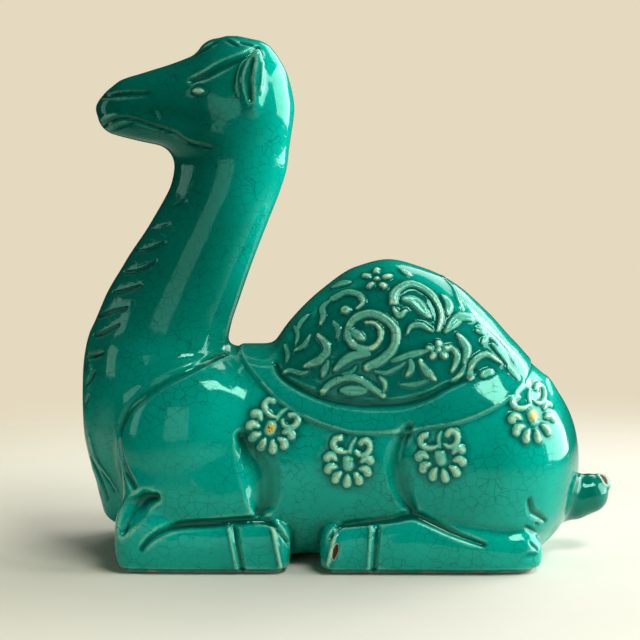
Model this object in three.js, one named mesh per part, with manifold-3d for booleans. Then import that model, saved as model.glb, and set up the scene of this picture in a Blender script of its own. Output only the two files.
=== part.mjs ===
// Resting camel in turquoise glazed earthenware, cast in one piece, about 240 mm high.
// Millimetres, +Z up. The origin is the middle of the underside, the head looks to -X, and both
// sides of the plane Y = 0 are alike.

import * as THREE from 'three';
import { mergeVertices } from 'three/addons/utils/BufferGeometryUtils.js';
import Module from 'manifold-3d';

// Driving dimensions
const CROWN = 240; // top of the lock of hair on the head
const HUMP_TOP = 136.7; // bare hump, below the thickness of the saddle cloth
const BACK = 97; // bare back between neck and hump
const CHEST = -122.8; // foremost point of the throat hair
const MUZZLE = -109; // where the head starts to close into the nose
const FLANK = 41; // half width of the barrel
const PELVIS = 39; // half width of the rump
const SKULL = 19; // half width of the head behind the eyes
const LEG_SIDE = 35; // middle of a folded leg, from the plane of symmetry
const LEG_HALF = 11; // half width of a folded leg
const SHANK = 24.5; // height of a folded foreleg
const SUNK = -4; // forms run on below the ground before the underside is cut flat
const CLOTH = 1.2; // thickness of the saddle cloth
const FOOT_HEIGHT = 3; // unglazed foot under the figure
const FOOT_INSET = 1.8;

// Fineness of the surface
const CELL = 1.45;
const REACH = { low: [-129, -6], high: [129, 244], side: 52 };
const FACES = 9300;
const SLOPE_STEP = 0.5;
const NARROWEST = 0.3; // of its end station, that a cap with sloping edges keeps
const BLOCK = 4; // cells along a block that is skipped when the surface is farther than FAR
const FAR = 1.7 * BLOCK * CELL;

const GLAZE = { color: 0x008f7d, roughness: 0.18, metalness: 0 };

const clamp = THREE.MathUtils.clamp;
const rise = THREE.MathUtils.smoothstep;

// A smooth curve of value against place that never overshoots its stations
function steadyCurve(places, values) {
  const last = places.length - 1;
  const run = places.slice(1).map((p, i) => p - places[i]);
  const slope = run.map((r, i) => (values[i + 1] - values[i]) / r);
  const tangent = places.map((_, i) => {
    if (i === 0) return slope[0];
    if (i === last) return slope[last - 1];
    if (slope[i - 1] * slope[i] <= 0) return 0;
    const before = 2 * run[i] + run[i - 1];
    const after = run[i] + 2 * run[i - 1];
    return (before + after) / (before / slope[i - 1] + after / slope[i]);
  });
  return (place) => {
    const at = clamp(place, places[0], places[last]);
    let i = 0;
    while (i < last - 1 && at >= places[i + 1]) i += 1;
    const u = (at - places[i]) / run[i];
    const inward = u * u * (3 - 2 * u);
    const pull = run[i] * u * (1 - u);
    return values[i] + (values[i + 1] - values[i]) * inward
      + pull * ((1 - u) * tangent[i] - u * tangent[i + 1]);
  };
}

function tabulate(curve, from, to) {
  const count = Math.ceil((to - from) / SLOPE_STEP) + 1;
  const value = new Float64Array(count + 1);
  for (let i = 0; i <= count; i += 1) value[i] = curve(from + i * SLOPE_STEP);
  return value;
}

// A body lofted along X or Z. A station is place, low edge, high edge and half width; beyond the
// end stations the body closes in round caps, which carry the slope of its edges on where that is
// asked for. The result is a signed distance, near the surface.
function loft(along, stations, form = {}) {
  const { power = 2.1, start = 10, end = 10, side = 0, startSlopes = false, endSlopes = false } = form;
  const column = (k) => stations.map((s) => s[k]);
  const places = column(0);
  const from = places[0];
  const to = places[places.length - 1];
  const middle = column(1).map((low, i) => (low + stations[i][2]) / 2);
  const half = column(1).map((low, i) => (stations[i][2] - low) / 2);
  const tables = [middle, half, column(3)].map((v) => tabulate(steadyCurve(places, v), from, to));
  return (x, y, z) => {
    const place = along === 'x' ? x : z;
    const cross = along === 'x' ? z : x;
    const cell = (clamp(place, from, to) - from) / SLOPE_STEP;
    const i = Math.floor(cell);
    const part = cell - i;
    const slopes = place < from ? startSlopes : place <= to || endSlopes;
    const [dc, dh, dw] = tables.map((t) => (slopes ? (t[i + 1] - t[i]) / SLOPE_STEP : 0));
    const [c0, h0, w0] = tables.map((t) => t[i] + (t[i + 1] - t[i]) * part);
    const beyond = place - clamp(place, from, to);
    const c = c0 + beyond * dc;
    const h = Math.max(h0 + beyond * dh, NARROWEST * h0);
    const w = Math.max(w0 + beyond * dw, NARROWEST * w0);
    const over = beyond / (beyond < 0 ? start : end);
    const u = (cross - c) / h;
    const v = (Math.abs(y) - side) / w;
    const sum = Math.abs(u) ** power + Math.abs(v) ** power + Math.abs(over) ** power;
    const size = sum ** (1 / power) + 1e-6;
    const share = (t) => Math.sign(t) * (Math.abs(t) / size) ** (power - 1);
    const ku = share(u);
    const kv = share(v);
    const ks = share(over) / (beyond < 0 ? start : end) - (ku * (dc + u * dh)) / h - (kv * v * dw) / w;
    return (size - 1) / Math.max(Math.hypot(ku / h, kv / w, ks), 1e-3);
  };
}

// An egg with half sizes along its own axes, leaning in the side view by tilt degrees
function egg([cx, cy, cz], [rx, ry, rz], { tilt = 0, power = 2.1 } = {}) {
  const cos = Math.cos(THREE.MathUtils.degToRad(tilt));
  const sin = Math.sin(THREE.MathUtils.degToRad(tilt));
  return (x, y, z) => {
    const dx = x - cx;
    const dz = z - cz;
    const p = [(dx * cos + dz * sin) / rx, (Math.abs(y) - cy) / ry, (dz * cos - dx * sin) / rz];
    const size = p.reduce((sum, v) => sum + Math.abs(v) ** power, 0) ** (1 / power) + 1e-6;
    const [a, b, c] = p.map((v) => (Math.abs(v) / size) ** (power - 1));
    return (size - 1) / Math.max(Math.hypot(a / rx, b / ry, c / rz), 1e-3);
  };
}

// Round taper through points that carry x, z and radius, in the plane of symmetry
function taper(points) {
  const pairs = points.slice(1).map((b, i) => [points[i], b]);
  return (x, y, z) => Math.min(...pairs.map(([a, b]) => {
    const [dx, dz, dr] = [b[0] - a[0], b[1] - a[1], b[2] - a[2]];
    const t = clamp(((x - a[0]) * dx + (z - a[1]) * dz) / (dx * dx + dz * dz), 0, 1);
    return Math.hypot(x - a[0] - t * dx, y, z - a[1] - t * dz) - (a[2] + t * dr);
  }));
}

// Union of two distances with a fillet of the given reach
function fuse(a, b, reach) {
  const near = Math.max(reach - Math.abs(a - b), 0) / reach;
  return Math.min(a, b) - (near * near * reach) / 4;
}

// Forms of the body, in the order in which they are fused
const trunk = loft('x', [
  [-84, 0, BACK - 8, 30], [-66, -3, BACK - 0.5, 38], [-40, SUNK, BACK, FLANK],
  [-18, 0, BACK, FLANK], [0, SUNK, BACK, FLANK + 0.5], [35, SUNK, BACK, FLANK + 1], [62, SUNK, BACK - 2, FLANK],
], { power: 2.25, start: 22, end: 24 });
const rump = egg([67.7, 0, 43.5], [40, PELVIS, 47.5], { power: 2.1 });
const hump = loft('x', [
  [-44, 66, 85.5, 14], [-36, 60, 95.4, 22], [-26, 45, 109, 28], [-12, 32, 122.8, 32.5],
  [4, 22, 133.4, 35], [18, 19.5, HUMP_TOP, 36], [34, 24, 132.9, 36], [50, 34, 124.8, 34],
  [64, 46, 112.4, 31], [76, 56, 99.4, 26], [86, 58, 88.3, 20], [91, 58, 83.5, 15],
], { power: 2.1, start: 5, end: 5 });
const neck = loft('z', [
  [26, -114, -60, 17], [45, -117, -50, 24], [62, -120, -46, 29], [80, -120, -46, 31],
  [97, -118, -56, 28], [106, -114.5, -55, 25], [120, -108, -50.5, 22.5], [137, -98, -44.5, 20],
  [155, -87.5, -37.5, 18.3], [170, -79.5, -31.6, 17.5], [182, -76, -28.2, 17.3],
  [205, -72, -27.8, 17.5],
], { power: 2.1, start: 14, end: 14 });
const throatHair = loft('z', [
  [22, -114.6, -98, 6.5], [40, -119, -100, 9], [56, CHEST + 0.6, -100, 10], [72, CHEST, -100, 10.5],
  [85, CHEST + 0.5, -100, 10.5], [100, -120.2, -96, 10], [120, -112.9, -90, 9],
  [137, -103, -80, 8.5], [155, -90.6, -72, 8], [170, -82, -64, 7.5], [181, -79.6, -56, 7],
  [190, -79, -50, 6],
], { power: 2.2, start: 8, end: 5 });
const head = loft('x', [
  [MUZZLE, 200.8, 216.6, 8.2], [-104, 199.6, 220.2, 10.4], [-98, 200, 222.2, 11.8],
  [-86, 198, 225.8, 14.2], [-72, 192, 230.8, 17.3], [-60, 187, 235.8, SKULL],
  [-49, 186, 237.2, SKULL],
], { power: 2.2, start: 7, end: 22.5, startSlopes: true });
const jaw = loft('x', [
  [MUZZLE + 1, 195.4, 209, 8], [-103, 194, 210, 9.5], [-96, 192.3, 210, 10.8],
  [-86, 190.2, 210, 12.8], [-76, 187, 209, 15.2], [-66, 185.6, 208, 16.2],
  [-58, 185.6, 208, 16.2],
], { power: 2.1, start: 6.5, end: 14, startSlopes: true });
const forelock = loft('x', [
  [-60, 222, CROWN - 1.6, 8], [-54, 222, CROWN - 0.2, 9], [-44, 222, CROWN - 2.8, 8.5],
], { power: 2, start: 8, end: 9 });
const shoulder = egg([-74, 24, 58], [30, 20, 36], { tilt: -12, power: 2.15 });
const forearm = loft('x', [
  [-92, 16, 44, 11], [-75, 14, 48, 13], [-58, 14, 49, 13.5], [-50, 16, 50, 12],
], { power: 2.2, start: 10, end: 10, side: LEG_SIDE - 5 });
const shank = loft('x', [
  [-95.5, SUNK, 33, LEG_HALF - 0.5], [-87, SUNK, 30, LEG_HALF], [-76, SUNK, SHANK + 0.5, LEG_HALF],
  [-52, SUNK, SHANK - 0.5, LEG_HALF], [-35, SUNK, SHANK, LEG_HALF],
], { power: 2.5, start: 10.5, end: 8.5, side: LEG_SIDE - 0.5 });
const thigh = egg([60, 22, 46], [39, 25, 40], { power: 2.15 });
const cannon = loft('x', [
  [-6, SUNK, 22, LEG_HALF], [12, SUNK, 25.5, LEG_HALF + 0.5], [28, SUNK, 28, LEG_HALF + 1],
  [45, SUNK, 25, LEG_HALF + 1], [60, SUNK, 22.5, LEG_HALF + 1], [72, SUNK, 20, LEG_HALF],
], { power: 2.4, start: 7.5, end: 15, side: LEG_SIDE });
const frontSole = loft('x', [[-84, -8, 9, 34], [-42, -8, 9, 34]], { power: 3, start: 12, end: 10 });
const hindSole = loft('x', [[4, -8, 9, 34], [74, -8, 9, 34]], { power: 3, start: 10, end: 12 });
const tail = taper([[97, 24, 10], [106, 25.6, 10.6], [113, 27.4, 9.4], [118.2, 31.8, 5.2]]);
const ear = loft('z', [
  [212, -47.5, -40, 3.2], [217, -49.6, -38.8, 3.8], [223, -48.8, -38.2, 4],
  [228, -46.4, -38.4, 3.2], [231, -44.4, -39, 2.2],
], { power: 2, start: 7, end: 3, side: SKULL - 0.2, endSlopes: true });

function body(x, y, z) {
  let d = trunk(x, y, z);
  d = fuse(d, rump(x, y, z), 10);
  d = fuse(d, hump(x, y, z), 3.5);
  d = fuse(d, fuse(neck(x, y, z), throatHair(x, y, z), 7), 6);
  const skull = fuse(head(x, y, z), jaw(x, y, z), 3);
  d = fuse(d, fuse(skull, forelock(x, y, z), 5), 9);
  d = fuse(d, shoulder(x, y, z), 6);
  d = fuse(d, forearm(x, y, z), 9);
  d = fuse(d, thigh(x, y, z), 9);
  d = fuse(d, shank(x, y, z), 3);
  d = fuse(d, cannon(x, y, z), 3);
  d = fuse(d, frontSole(x, y, z), 6);
  d = fuse(d, hindSole(x, y, z), 6);
  d = fuse(d, tail(x, y, z), 4);
  return fuse(d, ear(x, y, z), 3.5);
}

// Smooth line through side view points, as evenly spaced points
function sideLine(points, spacing = 1) {
  const line = new THREE.SplineCurve(points.map(([x, z]) => new THREE.Vector2(x, z)));
  return line.getSpacedPoints(Math.max(2, Math.ceil(line.getLength() / spacing)));
}

// Saddle cloth: its lower edge in side view, closed above the hump, and how far inside a point is
const CLOTH_EDGE = [
  [-52, 101], [-49, 94], [-40, 84.5], [-31, 76.5], [-20, 70.5], [-8, 66], [5, 63.5], [23, 64],
  [36, 66.5], [49, 69], [62, 74], [71, 78.5], [79, 84.5], [87, 94],
];
const clothOutline = [...sideLine(CLOTH_EDGE, 3), { x: 96, y: 150 }, { x: -28, y: 150 }];

function insideCloth(x, z) {
  let nearest = Infinity;
  let inside = false;
  clothOutline.forEach((a, i) => {
    const b = clothOutline[(i + 1) % clothOutline.length];
    const [ex, ez] = [b.x - a.x, b.y - a.y];
    const t = clamp(((x - a.x) * ex + (z - a.y) * ez) / (ex * ex + ez * ez), 0, 1);
    nearest = Math.min(nearest, Math.hypot(x - a.x - t * ex, z - a.y - t * ez));
    if (a.y > z !== b.y > z && x < a.x + (ex * (z - a.y)) / ez) inside = !inside;
  });
  return inside ? nearest : -nearest;
}

function clothed(x, y, z) {
  const bare = body(x, y, z);
  const onCloth = x > -60 && z > 55 && Math.abs(bare) < 4;
  const cloth = onCloth ? CLOTH * rise(insideCloth(x, z), -0.6, 0.6) : 0;
  const foot = FOOT_INSET * (1 - rise(z, FOOT_HEIGHT - 1, FOOT_HEIGHT));
  return Math.max(bare - cloth + foot, SUNK + 1 - z);
}

// Half width of the clothed body at a side view point, on the line of sight along Y
function sideOf(x, z) {
  let inner = 0;
  let outer = REACH.side;
  if (clothed(x, 0, z) > 0) return 0;
  for (let i = 0; i < 16; i += 1) {
    const y = (inner + outer) / 2;
    if (clothed(x, y, z) > 0) outer = y;
    else inner = y;
  }
  return inner;
}

// Strokes of relief. Each follows a side view line on both sides of the body, with a half width and
// a height, or a depth where it is cut in; taper says how the width runs from start to end.
const even = () => 1;
const pointed = (t) => Math.sqrt(1 - 0.85 * t * t);
const leafy = (t) => Math.sin(Math.PI * (0.1 + 0.8 * t)) ** 0.7;
const strokes = [];
const raise = (points, wide, high, taperOf = even) => strokes.push({ points, wide, high, taperOf });
const cut = (points, wide, deep, taperOf = even) => raise(points, wide, -deep, taperOf);

// Flower medallion hanging below the cloth: seven comma petals, two hooked leaves, a boss and a stem
const RING = { petals: 7, first: 167, last: 365, outer: 9.7, middle: 8.3, inner: 5.8, bend: 10 };
const HOOKS = [
  [[2.9, 5.1], [4.7, 3.4], [7.3, 3.6], [9.3, 5.6], [9.3, 8.3], [7.3, 9.8], [5.5, 8.7]],
  [[0.2, 5.1], [-2.4, 4.7], [-5.3, 5.6], [-6.9, 7.8], [-6, 10.2], [-3.8, 10.7]],
];
function medallion([x, z], turn) {
  const rad = THREE.MathUtils.degToRad(turn);
  const put = ([u, v]) => [
    x + u * Math.cos(rad) - v * Math.sin(rad),
    z + u * Math.sin(rad) + v * Math.cos(rad),
  ];
  const spoke = (angle, r) => {
    const a = THREE.MathUtils.degToRad(angle);
    return put([r * Math.cos(a), r * Math.sin(a)]);
  };
  for (let i = 0; i < RING.petals; i += 1) {
    const along = i / (RING.petals - 1);
    const angle = RING.first + (RING.last - RING.first) * along;
    const arched = angle + RING.bend * (2 * along - 1);
    const petal = [spoke(angle, RING.outer), spoke(arched, RING.middle), spoke(angle, RING.inner)];
    raise(petal, 2.2, 1.5, pointed);
  }
  HOOKS.forEach((hook) => raise(hook.map(put), 1.2, 1.3));
  raise([put([-0.2, 1.4]), put([-0.2, -1.7])], 2.9, 1.4);
  raise([put([0.9, 4]), put([1.1, 7.4]), put([3.3, 10.9])], 1.3, 1, leafy);
}

// Scrollwork on the hump
raise([[8, 92.5], [14.5, 96], [19, 100.5], [20.5, 105.5], [19, 110.5], [13.5, 114.5], [8, 115.3],
  [2.5, 113], [-0.3, 108.5], [0, 104], [3.7, 101], [9, 100.5], [13, 103.5], [14, 108], [11.3, 111.3],
  [7.3, 111.6]], 1.8, 1.7, pointed);
raise([[1.5, 108], [3.7, 106.2], [6.5, 104.5]], 1.9, 1.6, leafy);
raise([[9, 98.3], [2.3, 97.5], [-2, 95.2], [-6.5, 91]], 1.9, 1.3, leafy);
raise([[10.5, 91], [16, 90.3], [21.5, 92.8], [25, 95]], 1, 1, leafy);
raise([[-12, 80.8], [-8.4, 84.8], [-1.7, 87.7], [4.6, 87], [10.8, 83], [14.8, 80.3]], 1.4, 1.4);
raise([[-3.5, 82], [7, 82.3]], 2.6, 1.2, leafy);
raise([[13, 88.8], [15.7, 85.7], [15.3, 82]], 1.2, 1.2, leafy);
raise([[-13.7, 105.5], [-10.6, 102.3], [-9.7, 99], [-12.8, 95], [-19.6, 92]], 1.9, 1.5, leafy);
raise([[-9.3, 95], [-10.6, 91], [-12, 87.8]], 1.4, 1.2, leafy);
raise([[-30, 88], [-26.4, 89.3], [-21.4, 88.7], [-18.2, 89.7]], 1.2, 1.1, leafy);
raise([[-7.5, 120], [-1, 123.5], [4.8, 122.8], [6.4, 119.9], [3.6, 117.2]], 1.7, 1.4, pointed);
raise([[-1.7, 116.5], [-1, 116.3]], 2, 1.5);
raise([[-6.5, 125], [-2.8, 126.8], [1, 127.5]], 2, 1.2, leafy);
raise([[-7.8, 119.7], [-11.5, 116.5], [-11, 113.3], [-12.4, 109.8]], 1.7, 1.3, leafy);
raise([[-17.5, 113], [-21, 109.5], [-23, 105.5]], 1.8, 1.3, leafy);
raise([[19.5, 119.5], [20.3, 124], [25.6, 127.3], [31.1, 126.3], [36.5, 122.7], [39.7, 118],
  [40.6, 113.3], [39, 108]], 1.8, 1.6, pointed);
raise([[24, 121.5], [28.1, 120.8], [31.7, 117.8], [35, 114]], 2.6, 1.3, leafy);
raise([[19.5, 118], [22, 114.5], [25.3, 117]], 1.4, 1.3, leafy);
raise([[41.6, 122], [44, 119], [43.5, 114.5]], 1.7, 1.3, leafy);
raise([[25.5, 107], [27.5, 110.3], [32, 110.5], [37, 107.8]], 1.3, 1.2, leafy);
raise([[18.8, 95.5], [26, 97.7], [34.5, 99.8]], 1.5, 1.2, leafy);
raise([[26.8, 95.9], [27.4, 92.4], [25.1, 88.8]], 1.5, 1.2, leafy);
raise([[30.9, 95.4], [34.9, 89.8], [38, 87.2]], 1.7, 1.3, leafy);
raise([[44.4, 101.7], [47.6, 96.8], [45.2, 90.4]], 1.4, 1.4, leafy);
raise([[47.8, 106.2], [51.7, 100.2], [50.7, 94]], 1.7, 1.4, leafy);
raise([[42.5, 107.5], [48.6, 113], [56.5, 111.7]], 2.2, 1.3, leafy);
raise([[53.6, 87.5], [54.6, 94], [60.5, 97.3], [67.2, 93]], 1.5, 1.4, pointed);
raise([[56.5, 107], [64, 103.5], [70.5, 94.5]], 1.8, 1.3, leafy);
raise([[59.5, 88.5], [62, 89.5]], 1.9, 1.2);
raise([[70.5, 91], [75, 85.5]], 1.6, 1.1, leafy);
const BLOSSOMS = [{ at: [12.5, 129.2], reach: 3.6, petal: 1.9 }, { at: [39, 100.2], reach: 2.9, petal: 1.7 }];
BLOSSOMS.forEach(({ at: [x, z], reach, petal }) => {
  for (let i = 0; i < 5; i += 1) {
    const a = THREE.MathUtils.degToRad(90 + 72 * i);
    const tip = [x + reach * 1.25 * Math.cos(a), z + reach * 0.85 * Math.sin(a)];
    raise([tip, [x + 0.4 * Math.cos(a), z + 0.4 * Math.sin(a)]], petal, 1.3, pointed);
  }
  raise([[x - 0.3, z], [x + 0.3, z]], 1.3, 1.9);
});

medallion([-35.1, 65.9], -25);
medallion([-0.6, 50.8], 0);
medallion([40.3, 54], 16);
medallion([81.2, 70.8], 17);

// Line round the foot of the hump, and the folds that part the limbs from the body
cut([[-33.5, 92], [-30.4, 87], [-23.6, 83], [-13.3, 79], [-3, 76.7], [10.8, 75.7], [23.7, 76.4],
  [34.6, 79.5], [43.4, 84], [51, 87], [55.7, 91]], 2, 1.2);
cut([[-56.3, 96], [-65.6, 93.5], [-81, 87.3], [-92.4, 79.7], [-100.6, 70.8], [-104, 60],
  [-101.5, 47.5], [-96.4, 39.3]], 2.6, 1.5, leafy);
cut([[-93, 12], [-89.2, 16.5], [-83.3, 20.3], [-75.8, 22.4], [-64.2, 23.3], [-52.6, 24], [-42.4, 24.5],
  [-35.7, 23.4], [-31, 20], [-27.2, 14]], 2, 2, leafy);
cut([[-8.8, 17], [-6, 20.3], [-3, 22], [11.8, 24.1], [20.2, 25.4], [29, 26.8], [37.5, 23.5],
  [47.2, 19.2], [59.7, 14.5]], 2, 2, leafy);
cut([[-47.6, 61.6], [-44, 54.5], [-40, 44.7], [-38.8, 32], [-40, 26]], 3, 1.8, leafy);
cut([[26, 66], [22, 57], [21.4, 49.5], [24, 37], [28.3, 28.5]], 2.4, 1.5, leafy);
cut([[-87, 35], [-93, 33], [-99, 26], [-102, 20]], 6, 5, leafy);
cut([[75.5, 39.5], [80.3, 30.5], [88, 21]], 2, 1, leafy);

// Hooves: a line across each leg, and a softer ridge near the toe
cut([[-51.7, 22.5], [-47.9, 1.5]], 1.3, 1);
cut([[12.1, 24], [10.8, 1.5]], 1.3, 1);
raise([[-34.5, 22], [-31, 4]], 1.6, 0.5);
raise([[-6, 21], [-9.7, 5]], 1.6, 0.5);

// Hair at the hock
const HOCK_HAIR = [[79.5, 21, 83, 17.5], [80.5, 15, 83, 12.2], [77.6, 10.3, 82.6, 10.2]];
HOCK_HAIR.forEach(([x0, z0, x1, z1]) => cut([[x0, z0], [x1, z1]], 1, 0.7));

// Face: mouth, lips, nostril, eye and brow
cut([[-112.5, 199], [-103.3, 202.8], [-97.8, 202.3], [-88.7, 199.4], [-79.6, 196.2], [-72.4, 191.8],
  [-63, 189.5]], 1.4, 1);
cut([[-110, 196.5], [-104, 198.7], [-98, 200.5]], 1.1, 0.8, leafy);
cut([[-114, 212.9], [-109.5, 212.8], [-101.3, 213.5], [-89.8, 213.7]], 1.3, 1.2, leafy);
raise([[-69.3, 215.4], [-65.5, 214.6]], 1.9, 1, leafy);
cut([[-41, 233.5], [-48, 229.8], [-55.4, 226.5], [-64.3, 222]], 2.2, 1.1, leafy);
cut([[-42.5, 230], [-43.4, 223], [-42.7, 215]], 2.6, 2, leafy);

// Locks of throat hair and its tuft, then the forelock
cut([[-80.2, 162.7], [-76.9, 163.7], [-74, 165.6]], 1, 0.7, leafy);
cut([[-91.2, 152.4], [-86.2, 153.1], [-81.4, 154.7]], 1, 0.6, leafy);
cut([[-99.4, 142.1], [-90.8, 143.2], [-83.6, 146.6]], 1.1, 0.9, leafy);
cut([[-104.4, 132.5], [-95.4, 133.7], [-87.7, 138.1]], 1.2, 1, leafy);
cut([[-109, 123], [-102.4, 124.4], [-94.6, 127.2]], 1.3, 1.1, leafy);
cut([[-116.5, 111.4], [-109, 114.7], [-101.1, 117.2]], 1.3, 1.1, leafy);
cut([[-118, 103.1], [-112.2, 105.2], [-104.7, 109.5]], 1.4, 1.2, leafy);
cut([[-121, 93.6], [-116, 95], [-111.7, 97.1]], 1.4, 1.2, leafy);
cut([[-121.9, 79.8], [-119.1, 83.3], [-116.4, 87.8]], 1.3, 1.1, leafy);
cut([[-122.1, 70.9], [-119.7, 76.2]], 1.2, 1, leafy);
for (let i = 0; i < 3; i += 1) {
  cut([[-118.5 + 3.5 * i, 44 - 3 * i], [-114.5 + 2.5 * i, 24 + 2 * i]], 1.2, 0.9, leafy);
}
cut([[-60.3, 237.1], [-65.3, 233.9], [-71.3, 230.4]], 1.1, 0.7, leafy);
cut([[-55.8, 238.4], [-53, 237], [-50.2, 235.1]], 1.1, 0.8, leafy);
cut([[-50.3, 237], [-47.1, 236.5], [-43.5, 235.4]], 1.1, 0.8, leafy);

// Corners of a grid cell, and the pairs of them that an edge joins
const CORNERS = [0, 1, 2, 3, 4, 5, 6, 7].map((c) => [c & 1, (c >> 1) & 1, c >> 2]);
const EDGES = CORNERS.flatMap((a, m) => CORNERS.map((_, n) => [m, n]).filter(([, n]) => {
  const b = CORNERS[n];
  return m < n && Math.abs(a[0] - b[0]) + Math.abs(a[1] - b[1]) + Math.abs(a[2] - b[2]) === 1;
}));
const CELL_SIDES = [0, 1, 2].flatMap((axis) => [0, 1].map((end) => {
  const [u, v] = [1 << ((axis + 1) % 3), 1 << ((axis + 2) % 3)];
  const first = end << axis;
  return [first, first + u, first + u + v, first + v];
}));
const LEAST = 0.02;
const LEAST_GAP = 0.15; // between vertices of the thinned mesh
const MOST_ROUNDS = 40;

// Distances on a grid: one half is worked out and the other mirrors it
function sampleClay() {
  const count = [0, 1].map((k) => Math.ceil((REACH.high[k] - REACH.low[k]) / CELL) + 1);
  const [nx, nz] = count;
  const wing = Math.ceil(REACH.side / CELL);
  const ny = 2 * wing + 1;
  const at = (i, j, k) => (k * ny + j) * nx + i;
  const place = (i, j, k) => [REACH.low[0] + i * CELL, (j - wing) * CELL, REACH.low[1] + k * CELL];
  const value = new Float32Array(nx * ny * nz);
  const relief = new Float32Array(nx * ny * nz);
  const groove = new Float32Array(nx * ny * nz);
  const eachNear = (centre, reach, visit) => {
    const first = [centre[0] - REACH.low[0], centre[1] + wing * CELL, centre[2] - REACH.low[1]]
      .map((v) => Math.max(0, Math.ceil((v - reach) / CELL)));
    const beyond = [centre[0] - REACH.low[0], centre[1] + wing * CELL, centre[2] - REACH.low[1]]
      .map((v) => Math.floor((v + reach) / CELL));
    for (let k = first[2]; k <= Math.min(beyond[2], nz - 1); k += 1) {
      for (let j = Math.max(first[1], wing); j <= Math.min(beyond[1], ny - 1); j += 1) {
        for (let i = first[0]; i <= Math.min(beyond[0], nx - 1); i += 1) {
          const [x, y, z] = place(i, j, k);
          visit(at(i, j, k), Math.hypot(x - centre[0], y - centre[1], z - centre[2]));
        }
      }
    }
  };
  strokes.forEach(({ points, wide, high, taperOf }) => {
    const target = high > 0 ? relief : groove;
    const line = sideLine(points, 0.5);
    const sides = line.map(({ x, y: z }) => sideOf(x, z));
    line.forEach(({ x, y: z }, n) => {
      const half = wide * taperOf(n / (line.length - 1));
      const near = sides.slice(Math.max(0, n - 3), n + 4);
      const y = near.reduce((sum, v) => sum + v, 0) / near.length;
      eachNear([x, y, z], half, (cell, away) => {
        const dome = Math.abs(high) * (1 - (away / half) ** 2);
        target[cell] = Math.max(target[cell], dome);
      });
    });
  });
  for (let k = 0; k < nz; k += BLOCK) {
    for (let j = wing; j < ny; j += BLOCK) {
      for (let i = 0; i < nx; i += BLOCK) {
        const middle = place(i + BLOCK / 2, j + BLOCK / 2, k + BLOCK / 2);
        const far = clothed(...middle);
        const coarse = Math.abs(far) > FAR;
        for (let c = k; c < Math.min(k + BLOCK, nz); c += 1) {
          for (let b = j; b < Math.min(j + BLOCK, ny); b += 1) {
            for (let a = i; a < Math.min(i + BLOCK, nx); a += 1) {
              const cell = at(a, b, c);
              const d = coarse ? far : clothed(...place(a, b, c)) - relief[cell] + groove[cell];
              value[cell] = d;
              value[at(a, 2 * wing - b, c)] = d;
            }
          }
        }
      }
    }
  }
  return { value, size: [nx, ny, nz], at, place };
}

// The surface may not touch itself in a cell: where the inner or the outer corners of a cell, or of
// one of its sides, fall into two groups, the corner nearest to the surface changes sides
function settleClay(clay) {
  const { value, size: [nx, ny, nz], at } = clay;
  const joined = (mask) => {
    const first = CORNERS.findIndex((_, c) => (mask >> c) & 1);
    if (first < 0) return true;
    let reached = 1 << first;
    for (let round = 0; round < 4; round += 1) {
      EDGES.forEach(([m, n]) => {
        const pair = (1 << m) | (1 << n);
        if ((mask & pair) === pair && reached & pair) reached |= pair;
      });
    }
    return reached === mask;
  };
  const crossed = (mask) => CELL_SIDES.some((ring) => {
    const [p, q, r, s] = ring.map((c) => (mask >> c) & 1);
    return p === r && q === s && p !== q;
  });
  const sound = Array.from({ length: 256 }, (_, mask) => (
    joined(mask) && joined(255 - mask) && !crossed(mask)));
  for (let changed = true, round = 0; changed && round < MOST_ROUNDS; round += 1) {
    changed = false;
    for (let k = 0; k < nz - 1; k += 1) {
      for (let j = 0; j < ny - 1; j += 1) {
        for (let i = 0; i < nx - 1; i += 1) {
          const cells = CORNERS.map(([a, b, c]) => at(i + a, j + b, k + c));
          const mask = cells.reduce((bits, cell, n) => bits | ((value[cell] < 0) << n), 0);
          if (sound[mask]) continue;
          const rank = cells.map((cell, n) => ({ cell, n })).sort(
            (p, q) => Math.abs(value[p.cell]) - Math.abs(value[q.cell]));
          const swap = rank.find(({ n }) => sound[mask ^ (1 << n)]) ?? rank[0];
          const firm = LEAST * (1 + 4 * round); // so that later rounds take other corners
          value[swap.cell] = value[swap.cell] < 0 ? firm : -firm;
          changed = true;
        }
      }
    }
  }
  return clay;
}

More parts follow.
